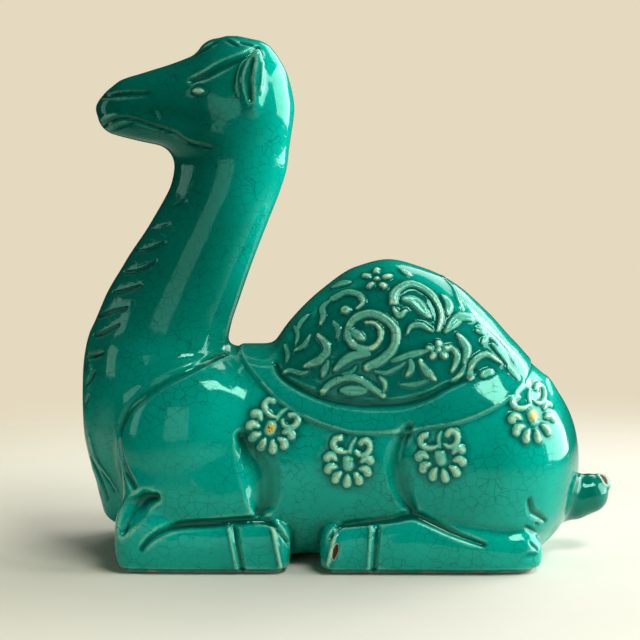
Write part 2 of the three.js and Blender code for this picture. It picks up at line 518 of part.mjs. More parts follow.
// Closed mesh through the zero level: one vertex in each cell that the surface crosses, and one
// square, split in two, across each crossed edge of the grid
function meshClay({ value, size: [nx, ny, nz], at, place }) {
  const points = [];
  const faces = [];
  const vertexOf = new Int32Array(nx * ny * nz).fill(-1);
  for (let k = 0; k < nz - 1; k += 1) {
    for (let j = 0; j < ny - 1; j += 1) {
      for (let i = 0; i < nx - 1; i += 1) {
        const d = CORNERS.map(([a, b, c]) => value[at(i + a, j + b, k + c)]);
        const inside = d.filter((v) => v < 0).length;
        if (inside === 0 || inside === 8) continue;
        const sum = [0, 0, 0];
        let hits = 0;
        EDGES.forEach(([m, n]) => {
          if (d[m] < 0 === d[n] < 0) return;
          const t = d[m] / (d[m] - d[n]);
          sum.forEach((_, axis) => {
            sum[axis] += CORNERS[m][axis] + t * (CORNERS[n][axis] - CORNERS[m][axis]);
          });
          hits += 1;
        });
        const base = place(i, j, k);
        vertexOf[at(i, j, k)] = points.length / 3;
        points.push(...sum.map((s, axis) => base[axis] + (CELL * s) / hits));
      }
    }
  }
  const step = [[1, 0, 0], [0, 1, 0], [0, 0, 1]];
  for (let k = 1; k < nz - 1; k += 1) {
    for (let j = 1; j < ny - 1; j += 1) {
      for (let i = 1; i < nx - 1; i += 1) {
        const here = value[at(i, j, k)] < 0;
        step.forEach((way, axis) => {
          if (here === value[at(i + way[0], j + way[1], k + way[2])] < 0) return;
          const u = step[(axis + 1) % 3];
          const v = step[(axis + 2) % 3];
          const cell = (p, q) => vertexOf[
            at(i - p * u[0] - q * v[0], j - p * u[1] - q * v[1], k - p * u[2] - q * v[2])];
          const ring = [cell(1, 1), cell(0, 1), cell(0, 0), cell(1, 0)];
          if (!here) ring.reverse();
          faces.push(ring[0], ring[1], ring[2], ring[0], ring[2], ring[3]);
        });
      }
    }
  }
  return { points, faces };
}

// Smallest first
class Heap {
  constructor() {
    this.items = [];
  }

  push(item) {
    const { items } = this;
    let i = items.push(item) - 1;
    while (i > 0) {
      const up = (i - 1) >> 1;
      if (items[up].cost <= items[i].cost) break;
      [items[up], items[i]] = [items[i], items[up]];
      i = up;
    }
  }

  pop() {
    const { items } = this;
    const top = items[0];
    const tail = items.pop();
    if (items.length === 0) return top;
    items[0] = tail;
    let i = 0;
    for (;;) {
      const left = 2 * i + 1;
      const right = left + 1;
      let least = i;
      if (left < items.length && items[left].cost < items[least].cost) least = left;
      if (right < items.length && items[right].cost < items[least].cost) least = right;
      if (least === i) return top;
      [items[least], items[i]] = [items[i], items[least]];
      i = least;
    }
  }
}

// Fewer, larger triangles: the edge whose folding moves the surface least is folded first. Each
// vertex carries the sum of squared distances to the planes of its faces, as ten numbers.
function thin({ points, faces }, target) {
  const count = points.length / 3;
  const plane = new Float64Array(count * 10);
  const around = Array.from({ length: count }, () => new Set());
  const version = new Int32Array(count);
  const alive = new Uint8Array(faces.length / 3).fill(1);
  const at = (v) => [points[3 * v], points[3 * v + 1], points[3 * v + 2]];
  const minus = (a, b) => [a[0] - b[0], a[1] - b[1], a[2] - b[2]];
  const cross = (a, b) => [
    a[1] * b[2] - a[2] * b[1], a[2] * b[0] - a[0] * b[2], a[0] * b[1] - a[1] * b[0]];
  const dot = (a, b) => a[0] * b[0] + a[1] * b[1] + a[2] * b[2];
  const corner = (f) => [faces[3 * f], faces[3 * f + 1], faces[3 * f + 2]];
  for (let f = 0; f < alive.length; f += 1) {
    const [a, b, c] = corner(f);
    const normal = cross(minus(at(b), at(a)), minus(at(c), at(a)));
    const length = Math.hypot(...normal) || 1;
    const [nx, ny, nz] = normal.map((v) => v / length);
    const w = -dot([nx, ny, nz], at(a));
    const terms = [nx * nx, nx * ny, nx * nz, nx * w, ny * ny, ny * nz, ny * w, nz * nz, nz * w, w * w];
    [a, b, c].forEach((v) => {
      around[v].add(f);
      terms.forEach((t, i) => {
        plane[10 * v + i] += (t * length) / 2;
      });
    });
  }
  const sumOf = (a, b) => Array.from({ length: 10 }, (_, i) => plane[10 * a + i] + plane[10 * b + i]);
  const errorAt = (q, [x, y, z]) => q[0] * x * x + q[4] * y * y + q[7] * z * z + q[9]
    + 2 * (q[1] * x * y + q[2] * x * z + q[5] * y * z + q[3] * x + q[6] * y + q[8] * z);
  const best = (q, a, b) => {
    const middle = at(a).map((v, i) => (v + at(b)[i]) / 2);
    const rows = [[q[0], q[1], q[2]], [q[1], q[4], q[5]], [q[2], q[5], q[7]]];
    const det = dot(rows[0], cross(rows[1], rows[2]));
    const choices = [at(a), at(b), middle];
    if (Math.abs(det) > 1e-4 * (q[0] + q[4] + q[7]) ** 3) {
      const right = [-q[3], -q[6], -q[8]];
      const [c0, c1, c2] = [0, 1, 2].map((i) => rows.map((r) => r[i]));
      const point = [dot(right, cross(c1, c2)), dot(c0, cross(right, c2)), dot(c0, cross(c1, right))]
        .map((v) => v / det);
      if (Math.hypot(...minus(point, middle)) < 6 * CELL) choices.push(point);
    }
    const costs = choices.map((p) => errorAt(q, p));
    return choices[costs.indexOf(Math.min(...costs))];
  };
  const heap = new Heap();
  const offer = (a, b) => {
    const q = sumOf(a, b);
    const to = best(q, a, b);
    const length = Math.hypot(...minus(at(a), at(b)));
    const cost = Math.max(errorAt(q, to), 0) + 2e-5 * length ** 3;
    heap.push({ cost, a, b, to, stamp: version[a] + version[b] });
  };
  const neighbours = (v) => {
    const near = new Set();
    around[v].forEach((f) => corner(f).forEach((w) => near.add(w)));
    near.delete(v);
    return near;
  };
  const turnsOver = (v, other, to) => [...around[v]].some((f) => {
    const ring = corner(f);
    if (ring.includes(other)) return false;
    const before = ring.map(at);
    const after = ring.map((w) => (w === v ? to : at(w)));
    const n0 = cross(minus(before[1], before[0]), minus(before[2], before[0]));
    const n1 = cross(minus(after[1], after[0]), minus(after[2], after[0]));
    return dot(n0, n1) < 0.25 * Math.hypot(...n0) * Math.hypot(...n1) || Math.hypot(...n1) < 1e-3;
  });
  const crowds = (a, b, to) => {
    const near = new Set([...neighbours(a), ...neighbours(b)]);
    [...near].forEach((v) => neighbours(v).forEach((w) => near.add(w)));
    return [...near].some((v) => v !== a && v !== b && Math.hypot(...minus(at(v), to)) < LEAST_GAP);
  };
  for (let v = 0; v < count; v += 1) neighbours(v).forEach((w) => v < w && offer(v, w));
  let left = alive.length;
  while (left > target && heap.items.length) {
    const { a, b, to, stamp } = heap.pop();
    if (around[a].size === 0 || around[b].size === 0 || version[a] + version[b] !== stamp) continue;
    const nearB = neighbours(b);
    const shared = [...neighbours(a)].filter((v) => nearB.has(v));
    if (!nearB.has(a) || shared.length !== 2 || crowds(a, b, to)) continue;
    if (turnsOver(a, b, to) || turnsOver(b, a, to)) continue;
    sumOf(a, b).forEach((v, i) => {
      plane[10 * a + i] = v;
    });
    to.forEach((v, i) => {
      points[3 * a + i] = v;
    });
    [...around[b]].forEach((f) => {
      if (corner(f).includes(a)) {
        alive[f] = 0;
        left -= 1;
        corner(f).forEach((v) => around[v].delete(f));
        return;
      }
      [0, 1, 2].forEach((i) => {
        if (faces[3 * f + i] === b) faces[3 * f + i] = a;
      });
      around[a].add(f);
    });
    around[b].clear();
    version[a] += 1;
    neighbours(a).forEach((v) => {
      version[v] += 1;
    });
    const touched = new Set([a, ...neighbours(a)]);
    touched.forEach((v) => neighbours(v).forEach((w) => {
      if (!touched.has(w) || v < w) offer(v, w);
    }));
  }
  const kept = [];
  alive.forEach((on, f) => on && kept.push(...corner(f)));
  return { points, faces: kept };
}

function toGeometry(points, faces) {
  const geometry = new THREE.BufferGeometry();
  geometry.setAttribute('position', new THREE.Float32BufferAttribute(points, 3));
  geometry.setIndex(faces);
  return geometry;
}

const wasm = await Module();
wasm.setup();

function toSolid(geometry) {
  const bare = geometry.clone();
  ['normal', 'uv'].forEach((name) => bare.deleteAttribute(name));
  const welded = mergeVertices(bare, 1e-4);
  const vertProperties = new Float32Array(welded.attributes.position.array);
  const triVerts = new Uint32Array(welded.index.array);
  return new wasm.Manifold(new wasm.Mesh({ numProp: 3, vertProperties, triVerts }));
}

// The clay stands on a flat underside: whatever reaches below the ground is cut away
function standFlat(geometry) {
  const ground = new THREE.BoxGeometry(400, 200, 40).translate(0, 0, -20);
  const stood = toSolid(geometry).subtract(toSolid(ground)).getMesh();
  return toGeometry(stood.vertProperties, Array.from(stood.triVerts));
}

const clay = thin(meshClay(settleClay(sampleClay())), FACES);
const camel = new THREE.Mesh(
  standFlat(toGeometry(clay.points, clay.faces)),
  new THREE.MeshStandardMaterial(GLAZE),
);
camel.name = 'camel';

const figure = new THREE.Group();
figure.add(camel);

export default figure;
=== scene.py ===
"""Looks of the resting camel: glazed relief, crackle, worn edges and a plain pale studio."""

import math

import bmesh
import bpy
import numpy as np
from bpy.props import FloatProperty, FloatVectorProperty, IntProperty, PointerProperty
from bpy.types import Operator, Panel, PropertyGroup
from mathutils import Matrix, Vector


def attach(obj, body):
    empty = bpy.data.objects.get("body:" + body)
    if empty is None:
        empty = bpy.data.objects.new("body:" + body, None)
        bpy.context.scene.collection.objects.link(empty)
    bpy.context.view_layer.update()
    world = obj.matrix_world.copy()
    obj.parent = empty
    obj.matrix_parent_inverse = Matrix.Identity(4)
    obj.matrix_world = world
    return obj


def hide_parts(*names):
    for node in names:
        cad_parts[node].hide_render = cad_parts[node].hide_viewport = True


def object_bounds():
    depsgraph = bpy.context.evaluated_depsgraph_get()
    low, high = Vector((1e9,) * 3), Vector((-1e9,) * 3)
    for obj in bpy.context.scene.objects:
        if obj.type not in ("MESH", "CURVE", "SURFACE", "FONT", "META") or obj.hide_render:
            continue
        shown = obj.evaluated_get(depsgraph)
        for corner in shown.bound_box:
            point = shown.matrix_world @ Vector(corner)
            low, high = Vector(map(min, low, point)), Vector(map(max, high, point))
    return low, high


bl_info = {
    "name": "Resting Camel",
    "version": (1, 0, 0),
    "blender": (4, 5, 0),
    "location": "View3D > Sidebar > Camel",
    "description": "Models and glazes a resting camel figure on its packed frame",
    "category": "Object",
}

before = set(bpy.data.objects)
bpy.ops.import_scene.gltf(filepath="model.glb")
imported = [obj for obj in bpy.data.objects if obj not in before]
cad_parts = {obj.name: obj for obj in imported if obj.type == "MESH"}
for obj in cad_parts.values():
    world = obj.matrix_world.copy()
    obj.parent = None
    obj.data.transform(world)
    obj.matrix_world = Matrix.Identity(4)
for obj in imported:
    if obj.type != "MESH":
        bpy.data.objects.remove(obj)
CAD_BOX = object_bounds()
MM = 0.001

# Driving dimensions in millimetres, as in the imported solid
CROWN = 240
HUMP_TOP = 136.7
BACK = 97
CHEST = -122.8
MUZZLE = -109
FLANK = 41
PELVIS = 39
SKULL = 19
LEG_SIDE = 35
LEG_HALF = 11
SHANK = 24.5
SUNK = -4
FOOT_HEIGHT = 3
FOOT_INSET = 1.8
CURVE_STEP = 0.5
NARROWEST = 0.3
WIDEST = 52
REACH = {"low": (-129, -WIDEST, -6), "high": (129, WIDEST, 246)}


def rise(value, low, high):
    """Smooth step from 0 at low to 1 at high."""
    t = np.clip((value - low) / (high - low), 0, 1)
    return t * t * (3 - 2 * t)


def steady_curve(places, values):
    """A smooth curve of value against place that never overshoots its stations."""
    places, values = np.asarray(places, float), np.asarray(values, float)
    run = np.diff(places)
    slope = np.diff(values) / run
    tangent = np.concatenate([slope[:1], np.zeros(len(run) - 1), slope[-1:]])
    for i in range(1, len(run)):
        if slope[i - 1] * slope[i] > 0:
            before = 2 * run[i] + run[i - 1]
            after = run[i] + 2 * run[i - 1]
            tangent[i] = (before + after) / (before / slope[i - 1] + after / slope[i])

    def value_at(place):
        at = np.clip(place, places[0], places[-1])
        i = np.clip(np.searchsorted(places, at, side="right") - 1, 0, len(run) - 1)
        u = (at - places[i]) / run[i]
        inward = u * u * (3 - 2 * u)
        pull = run[i] * u * (1 - u)
        step = (values[i + 1] - values[i]) * inward
        return values[i] + step + pull * ((1 - u) * tangent[i] - u * tangent[i + 1])

    return value_at


def loft(along, stations, power=2.1, start=10, end=10, side=0, start_slopes=False, end_slopes=False):
    """Distance to a body lofted along x or z through stations of place, low, high and half width."""
    place, low, high, wide = np.array(stations, float).T
    first, last = place[0], place[-1]
    grid = np.append(np.arange(first, last, CURVE_STEP), last)
    tables = [steady_curve(place, v)(grid) for v in ((low + high) / 2, (high - low) / 2, wide)]
    slopes = [np.gradient(table, grid) for table in tables]

    def distance(x, y, z):
        a, cross = (x, z) if along == "x" else (z, x)
        at = np.clip(a, first, last)
        beyond = a - at
        sloped = np.where(beyond < 0, start_slopes, np.where(beyond > 0, end_slopes, True))
        c, h, w = (np.interp(at, grid, table) for table in tables)
        dc, dh, dw = (np.interp(at, grid, slope) * sloped for slope in slopes)
        c = c + beyond * dc
        h = np.maximum(h + beyond * dh, NARROWEST * h)
        w = np.maximum(w + beyond * dw, NARROWEST * w)
        cap = np.where(beyond < 0, start, end)
        u, v, over = (cross - c) / h, (np.abs(y) - side) / w, beyond / cap
        size = (np.abs(u) ** power + np.abs(v) ** power + np.abs(over) ** power) ** (1 / power) + 1e-6
        ku, kv, ks = (np.sign(t) * (np.abs(t) / size) ** (power - 1) for t in (u, v, over))
        ks = ks / cap - ku * (dc + u * dh) / h - kv * v * dw / w
        steep = np.sqrt((ku / h) ** 2 + (kv / w) ** 2 + ks ** 2)
        return (size - 1) / np.maximum(steep, 1e-3)

    return distance


def egg(centre, radii, tilt=0, power=2.1):
    """Distance to an egg with half sizes along its own axes, leaning in the side view."""
    cos, sin = math.cos(math.radians(tilt)), math.sin(math.radians(tilt))

    def distance(x, y, z):
        dx, dz = x - centre[0], z - centre[2]
        away = (dx * cos + dz * sin, np.abs(y) - centre[1], dz * cos - dx * sin)
        p = [a / r for a, r in zip(away, radii)]
        size = sum(np.abs(v) ** power for v in p) ** (1 / power) + 1e-6
        steep = np.sqrt(sum(((np.abs(v) / size) ** (power - 1) / r) ** 2 for v, r in zip(p, radii)))
        return (size - 1) / np.maximum(steep, 1e-3)

    return distance


def taper(points):
    """Distance to a round taper through points of x, z and radius in the plane of symmetry."""
    def distance(x, y, z):
        nearest = np.full(np.shape(x), 1e3)
        for (ax, az, ar), (bx, bz, br) in zip(points, points[1:]):
            dx, dz = bx - ax, bz - az
            t = np.clip(((x - ax) * dx + (z - az) * dz) / (dx * dx + dz * dz), 0, 1)
            away = np.sqrt((x - ax - t * dx) ** 2 + y ** 2 + (z - az - t * dz) ** 2)
            nearest = np.minimum(nearest, away - ar - t * (br - ar))
        return nearest

    return distance


def fuse(a, b, reach):
    """Union of two distances with a fillet of the given reach."""
    near = np.maximum(reach - np.abs(a - b), 0) / reach
    return np.minimum(a, b) - near * near * reach / 4


FORMS = {
    "trunk": loft("x", [
        (-84, 0, BACK - 8, 30), (-66, -3, BACK - 0.5, 38), (-40, SUNK, BACK, FLANK),
        (-18, 0, BACK, FLANK), (0, SUNK, BACK, FLANK + 0.5), (35, SUNK, BACK, FLANK + 1),
        (62, SUNK, BACK - 2, FLANK),
    ], power=2.25, start=22, end=24),
    "rump": egg((67.7, 0, 43.5), (40, PELVIS, 47.5)),
    "hump": loft("x", [
        (-44, 66, 85.5, 14), (-36, 60, 95.4, 22), (-26, 45, 109, 28), (-12, 32, 122.8, 32.5),
        (4, 22, 133.4, 35), (18, 19.5, HUMP_TOP, 36), (34, 24, 132.9, 36), (50, 34, 124.8, 34),
        (64, 46, 112.4, 31), (76, 56, 99.4, 26), (86, 58, 88.3, 20), (91, 58, 83.5, 15),
    ], start=5, end=5),
    "neck": loft("z", [
        (26, -114, -60, 17), (45, -117, -50, 24), (62, -120, -46, 29), (80, -120, -46, 31),
        (97, -118, -56, 28), (106, -114.5, -55, 25), (120, -108, -50.5, 22.5),
        (137, -98, -44.5, 20), (155, -87.5, -37.5, 18.3), (170, -79.5, -31.6, 17.5),
        (182, -76, -28.2, 17.3), (205, -72, -27.8, 17.5),
    ], start=14, end=14),
    "throat_hair": loft("z", [
        (22, -114.6, -98, 6.5), (40, -119, -100, 9), (56, CHEST + 0.6, -100, 10),
        (72, CHEST, -100, 10.5), (85, CHEST + 0.5, -100, 10.5), (100, -120.2, -96, 10),
        (120, -112.9, -90, 9), (137, -103, -80, 8.5), (155, -90.6, -72, 8),
        (170, -82, -64, 7.5), (181, -79.6, -56, 7), (190, -79, -50, 6),
    ], power=2.2, start=8, end=5),
    "head": loft("x", [
        (MUZZLE, 200.8, 216.6, 8.2), (-104, 199.6, 220.2, 10.4), (-98, 200, 222.2, 11.8),
        (-86, 198, 225.8, 14.2), (-72, 192, 230.8, 17.3), (-60, 187, 235.8, SKULL),
        (-49, 186, 237.2, SKULL),
    ], power=2.2, start=7, end=22.5, start_slopes=True),
    "jaw": loft("x", [
        (MUZZLE + 1, 195.4, 209, 8), (-103, 194, 210, 9.5), (-96, 192.3, 210, 10.8),
        (-86, 190.2, 210, 12.8), (-76, 187, 209, 15.2), (-66, 185.6, 208, 16.2),
        (-58, 185.6, 208, 16.2),
    ], start=6.5, end=14, start_slopes=True),
    "forelock": loft("x", [
        (-60, 222, CROWN - 1.6, 8), (-54, 222, CROWN - 0.2, 9), (-44, 222, CROWN - 2.8, 8.5),
    ], power=2, start=8, end=9),
    "shoulder": egg((-74, 24, 58), (30, 20, 36), tilt=-12, power=2.15),
    "forearm": loft("x", [
        (-92, 16, 44, 11), (-75, 14, 48, 13), (-58, 14, 49, 13.5), (-50, 16, 50, 12),
    ], power=2.2, start=10, end=10, side=LEG_SIDE - 5),
    "shank": loft("x", [
        (-95.5, SUNK, 33, LEG_HALF - 0.5), (-87, SUNK, 30, LEG_HALF), (-76, SUNK, SHANK + 0.5, LEG_HALF),
        (-52, SUNK, SHANK - 0.5, LEG_HALF), (-35, SUNK, SHANK, LEG_HALF),
    ], power=2.5, start=10.5, end=8.5, side=LEG_SIDE - 0.5),
    "thigh": egg((60, 22, 46), (39, 25, 40), power=2.15),
    "cannon": loft("x", [
        (-6, SUNK, 22, LEG_HALF), (12, SUNK, 25.5, LEG_HALF + 0.5), (28, SUNK, 28, LEG_HALF + 1),
        (45, SUNK, 25, LEG_HALF + 1), (60, SUNK, 22.5, LEG_HALF + 1), (72, SUNK, 20, LEG_HALF),
    ], power=2.4, start=7.5, end=15, side=LEG_SIDE),
    "front_sole": loft("x", [(-84, -8, 9, 34), (-42, -8, 9, 34)], power=3, start=12, end=10),
    "hind_sole": loft("x", [(4, -8, 9, 34), (74, -8, 9, 34)], power=3, start=10, end=12),
    "tail": taper([(97, 24, 10), (106, 25.6, 10.6), (113, 27.4, 9.4), (118.2, 31.8, 5.2)]),
    "ear": loft("z", [
        (212, -47.5, -40, 3.2), (217, -49.6, -38.8, 3.8), (223, -48.8, -38.2, 4),
        (228, -46.4, -38.4, 3.2), (231, -44.4, -39, 2.2),
    ], power=2, start=7, end=3, side=SKULL - 0.2, end_slopes=True),
}
FILLETS = [
    ("rump", 10), ("hump", 3.5), ("neck", 6), ("head", 9), ("shoulder", 6), ("forearm", 9), ("thigh", 9),
    ("shank", 3), ("cannon", 3), ("front_sole", 6), ("hind_sole", 6), ("tail", 4), ("ear", 3.5),
]


def body_distance(x, y, z):
    """Signed distance to the bare figure on its inset foot, in millimetres."""
    d = FORMS["trunk"](x, y, z)
    for name, reach in FILLETS:
        part = FORMS[name](x, y, z)
        if name == "neck":
            part = fuse(part, FORMS["throat_hair"](x, y, z), 7)
        if name == "head":
            part = fuse(fuse(part, FORMS["jaw"](x, y, z), 3), FORMS["forelock"](x, y, z), 5)
        d = fuse(d, part, reach)
    foot = FOOT_INSET * (1 - rise(z, FOOT_HEIGHT - 1, FOOT_HEIGHT))
    return np.maximum(d + foot, -z)


def gradient(x, y, z, reach=0.05):
    """Outward direction and distance of the bare figure at points."""
    here = body_distance(x, y, z)
    beside = ((x + reach, y, z), (x, y + reach, z), (x, y, z + reach))
    way = (np.stack([body_distance(*point) for point in beside], -1) - here[:, None]) / reach
    return here, way / np.maximum(np.linalg.norm(way, axis=-1, keepdims=True), 1e-6)


def side_of(x, z):
    """Half width of the bare figure at side view points."""
    inner, outer = np.zeros_like(x), np.full_like(x, float(WIDEST))
    for _ in range(18):
        y = (inner + outer) / 2
        out = body_distance(x, y, z) > 0
        outer, inner = np.where(out, y, outer), np.where(out, inner, y)
    return inner


# Surface skin

CORNERS = np.array([(c & 1, (c >> 1) & 1, c >> 2) for c in range(8)])
CELL_EDGES = [(a, b) for a in range(8) for b in range(8) if abs(CORNERS[a] - CORNERS[b]).sum() == 1]
CELL_SIDES = [[first, first + u, first + u + v, first + v]
              for n, u, v in ((1, 2, 4), (2, 4, 1), (4, 1, 2)) for first in (0, n)]
LEAST = 0.02
MOST_ROUNDS = 40


def sample_clay(cell):
    """Distances on a grid: one side is worked out near the surface, and the other mirrors it."""
    low, high = np.array(REACH["low"], float), np.array(REACH["high"], float)
    wing = int(math.ceil(high[1] / cell))
    count = np.ceil((high - low) / cell).astype(int) + 1
    block = 4
    nx, nz = (int(math.ceil(n / block)) * block for n in (count[0], count[2]))
    ny = int(math.ceil((wing + 1) / block)) * block
    centre = [base + (np.arange(n // block) + 0.5) * block * cell - cell / 2
              for base, n in ((low[0], nx), (0, ny), (low[2], nz))]
    bx, by, bz = (g.ravel() for g in np.meshgrid(*centre, indexing="ij"))
    coarse = body_distance(bx, by, bz).reshape([len(c) for c in centre])
    field = np.repeat(np.repeat(np.repeat(coarse, block, 0), block, 1), block, 2).astype(np.float32)
    near = np.argwhere(np.abs(coarse) < 1.1 * block * cell) * block
    step = np.stack(np.meshgrid(*[np.arange(block)] * 3, indexing="ij"), -1).reshape(-1, 3)
    at = (near[:, None, :] + step[None]).reshape(-1, 3)
    x, y, z = low[0] + at[:, 0] * cell, at[:, 1] * cell, low[2] + at[:, 2] * cell
    for part in np.array_split(np.arange(len(at)), max(1, len(at) // 200000)):
        i, j, k = at[part].T
        field[i, j, k] = body_distance(x[part], y[part], z[part])
    field = field[:, :wing + 1]
    return np.concatenate([field[:, :0:-1], field], 1), np.array([low[0], -wing * cell, low[2]])


def in_one_piece(corners):
    """Whether corners of a cell hang together along its edges."""
    seen, front = set(), set(sorted(corners)[:1])
    while front:
        seen |= front
        front = {b for a, b in CELL_EDGES if a in front and b in corners} - seen
    return seen == corners


def sound_cells():
    """For each of the 256 sets of inner corners, whether one plain sheet passes through the cell."""
    sound = np.zeros(256, bool)
    for mask in range(256):
        inner = {c for c in range(8) if mask >> c & 1}
        sides = [[c in inner for c in side] for side in CELL_SIDES]
        crossed = any(p == r and q == s and p != q for p, q, r, s in sides)
        sound[mask] = in_one_piece(inner) and in_one_piece(set(range(8)) - inner) and not crossed
    return sound


def untangle(field):
    """Moves a few grid values across zero until every cell is sound."""
    sound = sound_cells()
    size = [n - 1 for n in field.shape]
    for turn in range(MOST_ROUNDS):
        inside = field < 0
        mask = sum(inside[a:size[0] + a, b:size[1] + b, c:size[2] + c].astype(np.uint8) << n
                   for n, (a, b, c) in enumerate(CORNERS))
        tangled = np.argwhere(~sound[mask])
        firm = LEAST * (1 + 4 * turn)  # so that later rounds take other corners
        for cell in tangled:
            at = [tuple(cell + corner) for corner in CORNERS]
            values = np.array([field[p] for p in at])
            now = sum(int(v < 0) << n for n, v in enumerate(values))
            if sound[now]:
                continue
            order = np.argsort(np.abs(values), kind="stable")
            swap = next((n for n in order if sound[now ^ (1 << n)]), order[0])
            field[at[swap]] = firm if values[swap] < 0 else -firm
        if not len(tangled):
            break
    return field


def mesh_clay(field, origin, cell):
    """Closed skin of four-sided faces through the zero level of the grid."""
    inside = field < 0
    hits = sum(inside[a:inside.shape[0] - 1 + a, b:inside.shape[1] - 1 + b, c:inside.shape[2] - 1 + c]
               .astype(np.uint8) for a, b, c in CORNERS)
    cells = np.argwhere((hits > 0) & (hits < 8))
    values = np.stack([field[tuple((cells + corner).T)] for corner in CORNERS], -1)
    total, crossed = np.zeros((len(cells), 3)), np.zeros(len(cells))
    for a, b in [edge for edge in CELL_EDGES if edge[0] < edge[1]]:
        cut = (values[:, a] < 0) != (values[:, b] < 0)
        t = np.where(cut, values[:, a] / np.where(cut, values[:, a] - values[:, b], 1), 0)
        total += np.where(cut[:, None], CORNERS[a] + t[:, None] * (CORNERS[b] - CORNERS[a]), 0)
        crossed += cut
    points = origin + cell * (cells + total / crossed[:, None])
    number = np.full(hits.shape, -1, np.int32)
    number[tuple(cells.T)] = np.arange(len(cells))
    faces = []
    for axis in range(3):
        ahead = np.moveaxis(inside, axis, 0)
        flip = np.argwhere(np.moveaxis(ahead[:-1] != ahead[1:], 0, axis))
        u, v = np.eye(3, dtype=int)[(axis + 1) % 3], np.eye(3, dtype=int)[(axis + 2) % 3]
        around = ((1, 1), (0, 1), (0, 0), (1, 0))
        ring = np.stack([number[tuple((flip - p * u - q * v).T)] for p, q in around], -1)
        here = inside[tuple(flip.T)]
        faces.append(np.where(here[:, None], ring, ring[:, ::-1]))
    return points, np.concatenate(faces)


def settle(points, rounds=2):
    """Moves skin points onto the exact surface."""
    half = points[:, 1] >= 0
    for _ in range(rounds):
        x, y, z = points[half].T
        d, way = gradient(x, y, z)
        points[half] -= way * np.clip(d, -0.5, 0.5)[:, None]
    return points


# Relief lines: side view points (x, z), half width, height or depth, taper. They lie on both flanks.

TAPERS = {
    "even": lambda t: np.ones_like(t),
    "pointed": lambda t: np.sqrt(1 - 0.85 * t * t),
    "leafy": lambda t: np.sin(math.pi * (0.1 + 0.8 * t)) ** 0.7,
}


def smooth_line(points, spacing=0.5):
    """Evenly spaced points of a round curve through side view points."""
    p = np.array(points, float)
    run = np.linalg.norm(np.diff(p, axis=0), axis=1)
    q = np.vstack([2 * p[0] - p[1], p, 2 * p[-1] - p[-2]])
    fine = []
    for i, length in enumerate(run, 1):
        t = np.linspace(0, 1, max(3, int(length * 4)), endpoint=False)[:, None]
        a, b, c, d = q[i - 1:i + 3]
        fine.append(0.5 * (2 * b + (c - a) * t + (2 * a - 5 * b + 4 * c - d) * t ** 2
                           + (3 * b - a - 3 * c + d) * t ** 3))
    fine = np.vstack(fine + [p[-1:]])
    along = np.concatenate([[0], np.cumsum(np.linalg.norm(np.diff(fine, axis=0), axis=1))])
    at = np.linspace(0, along[-1], max(3, int(math.ceil(along[-1] / spacing)) + 1))
    return np.stack([np.interp(at, along, fine[:, 0]), np.interp(at, along, fine[:, 1])], -1)


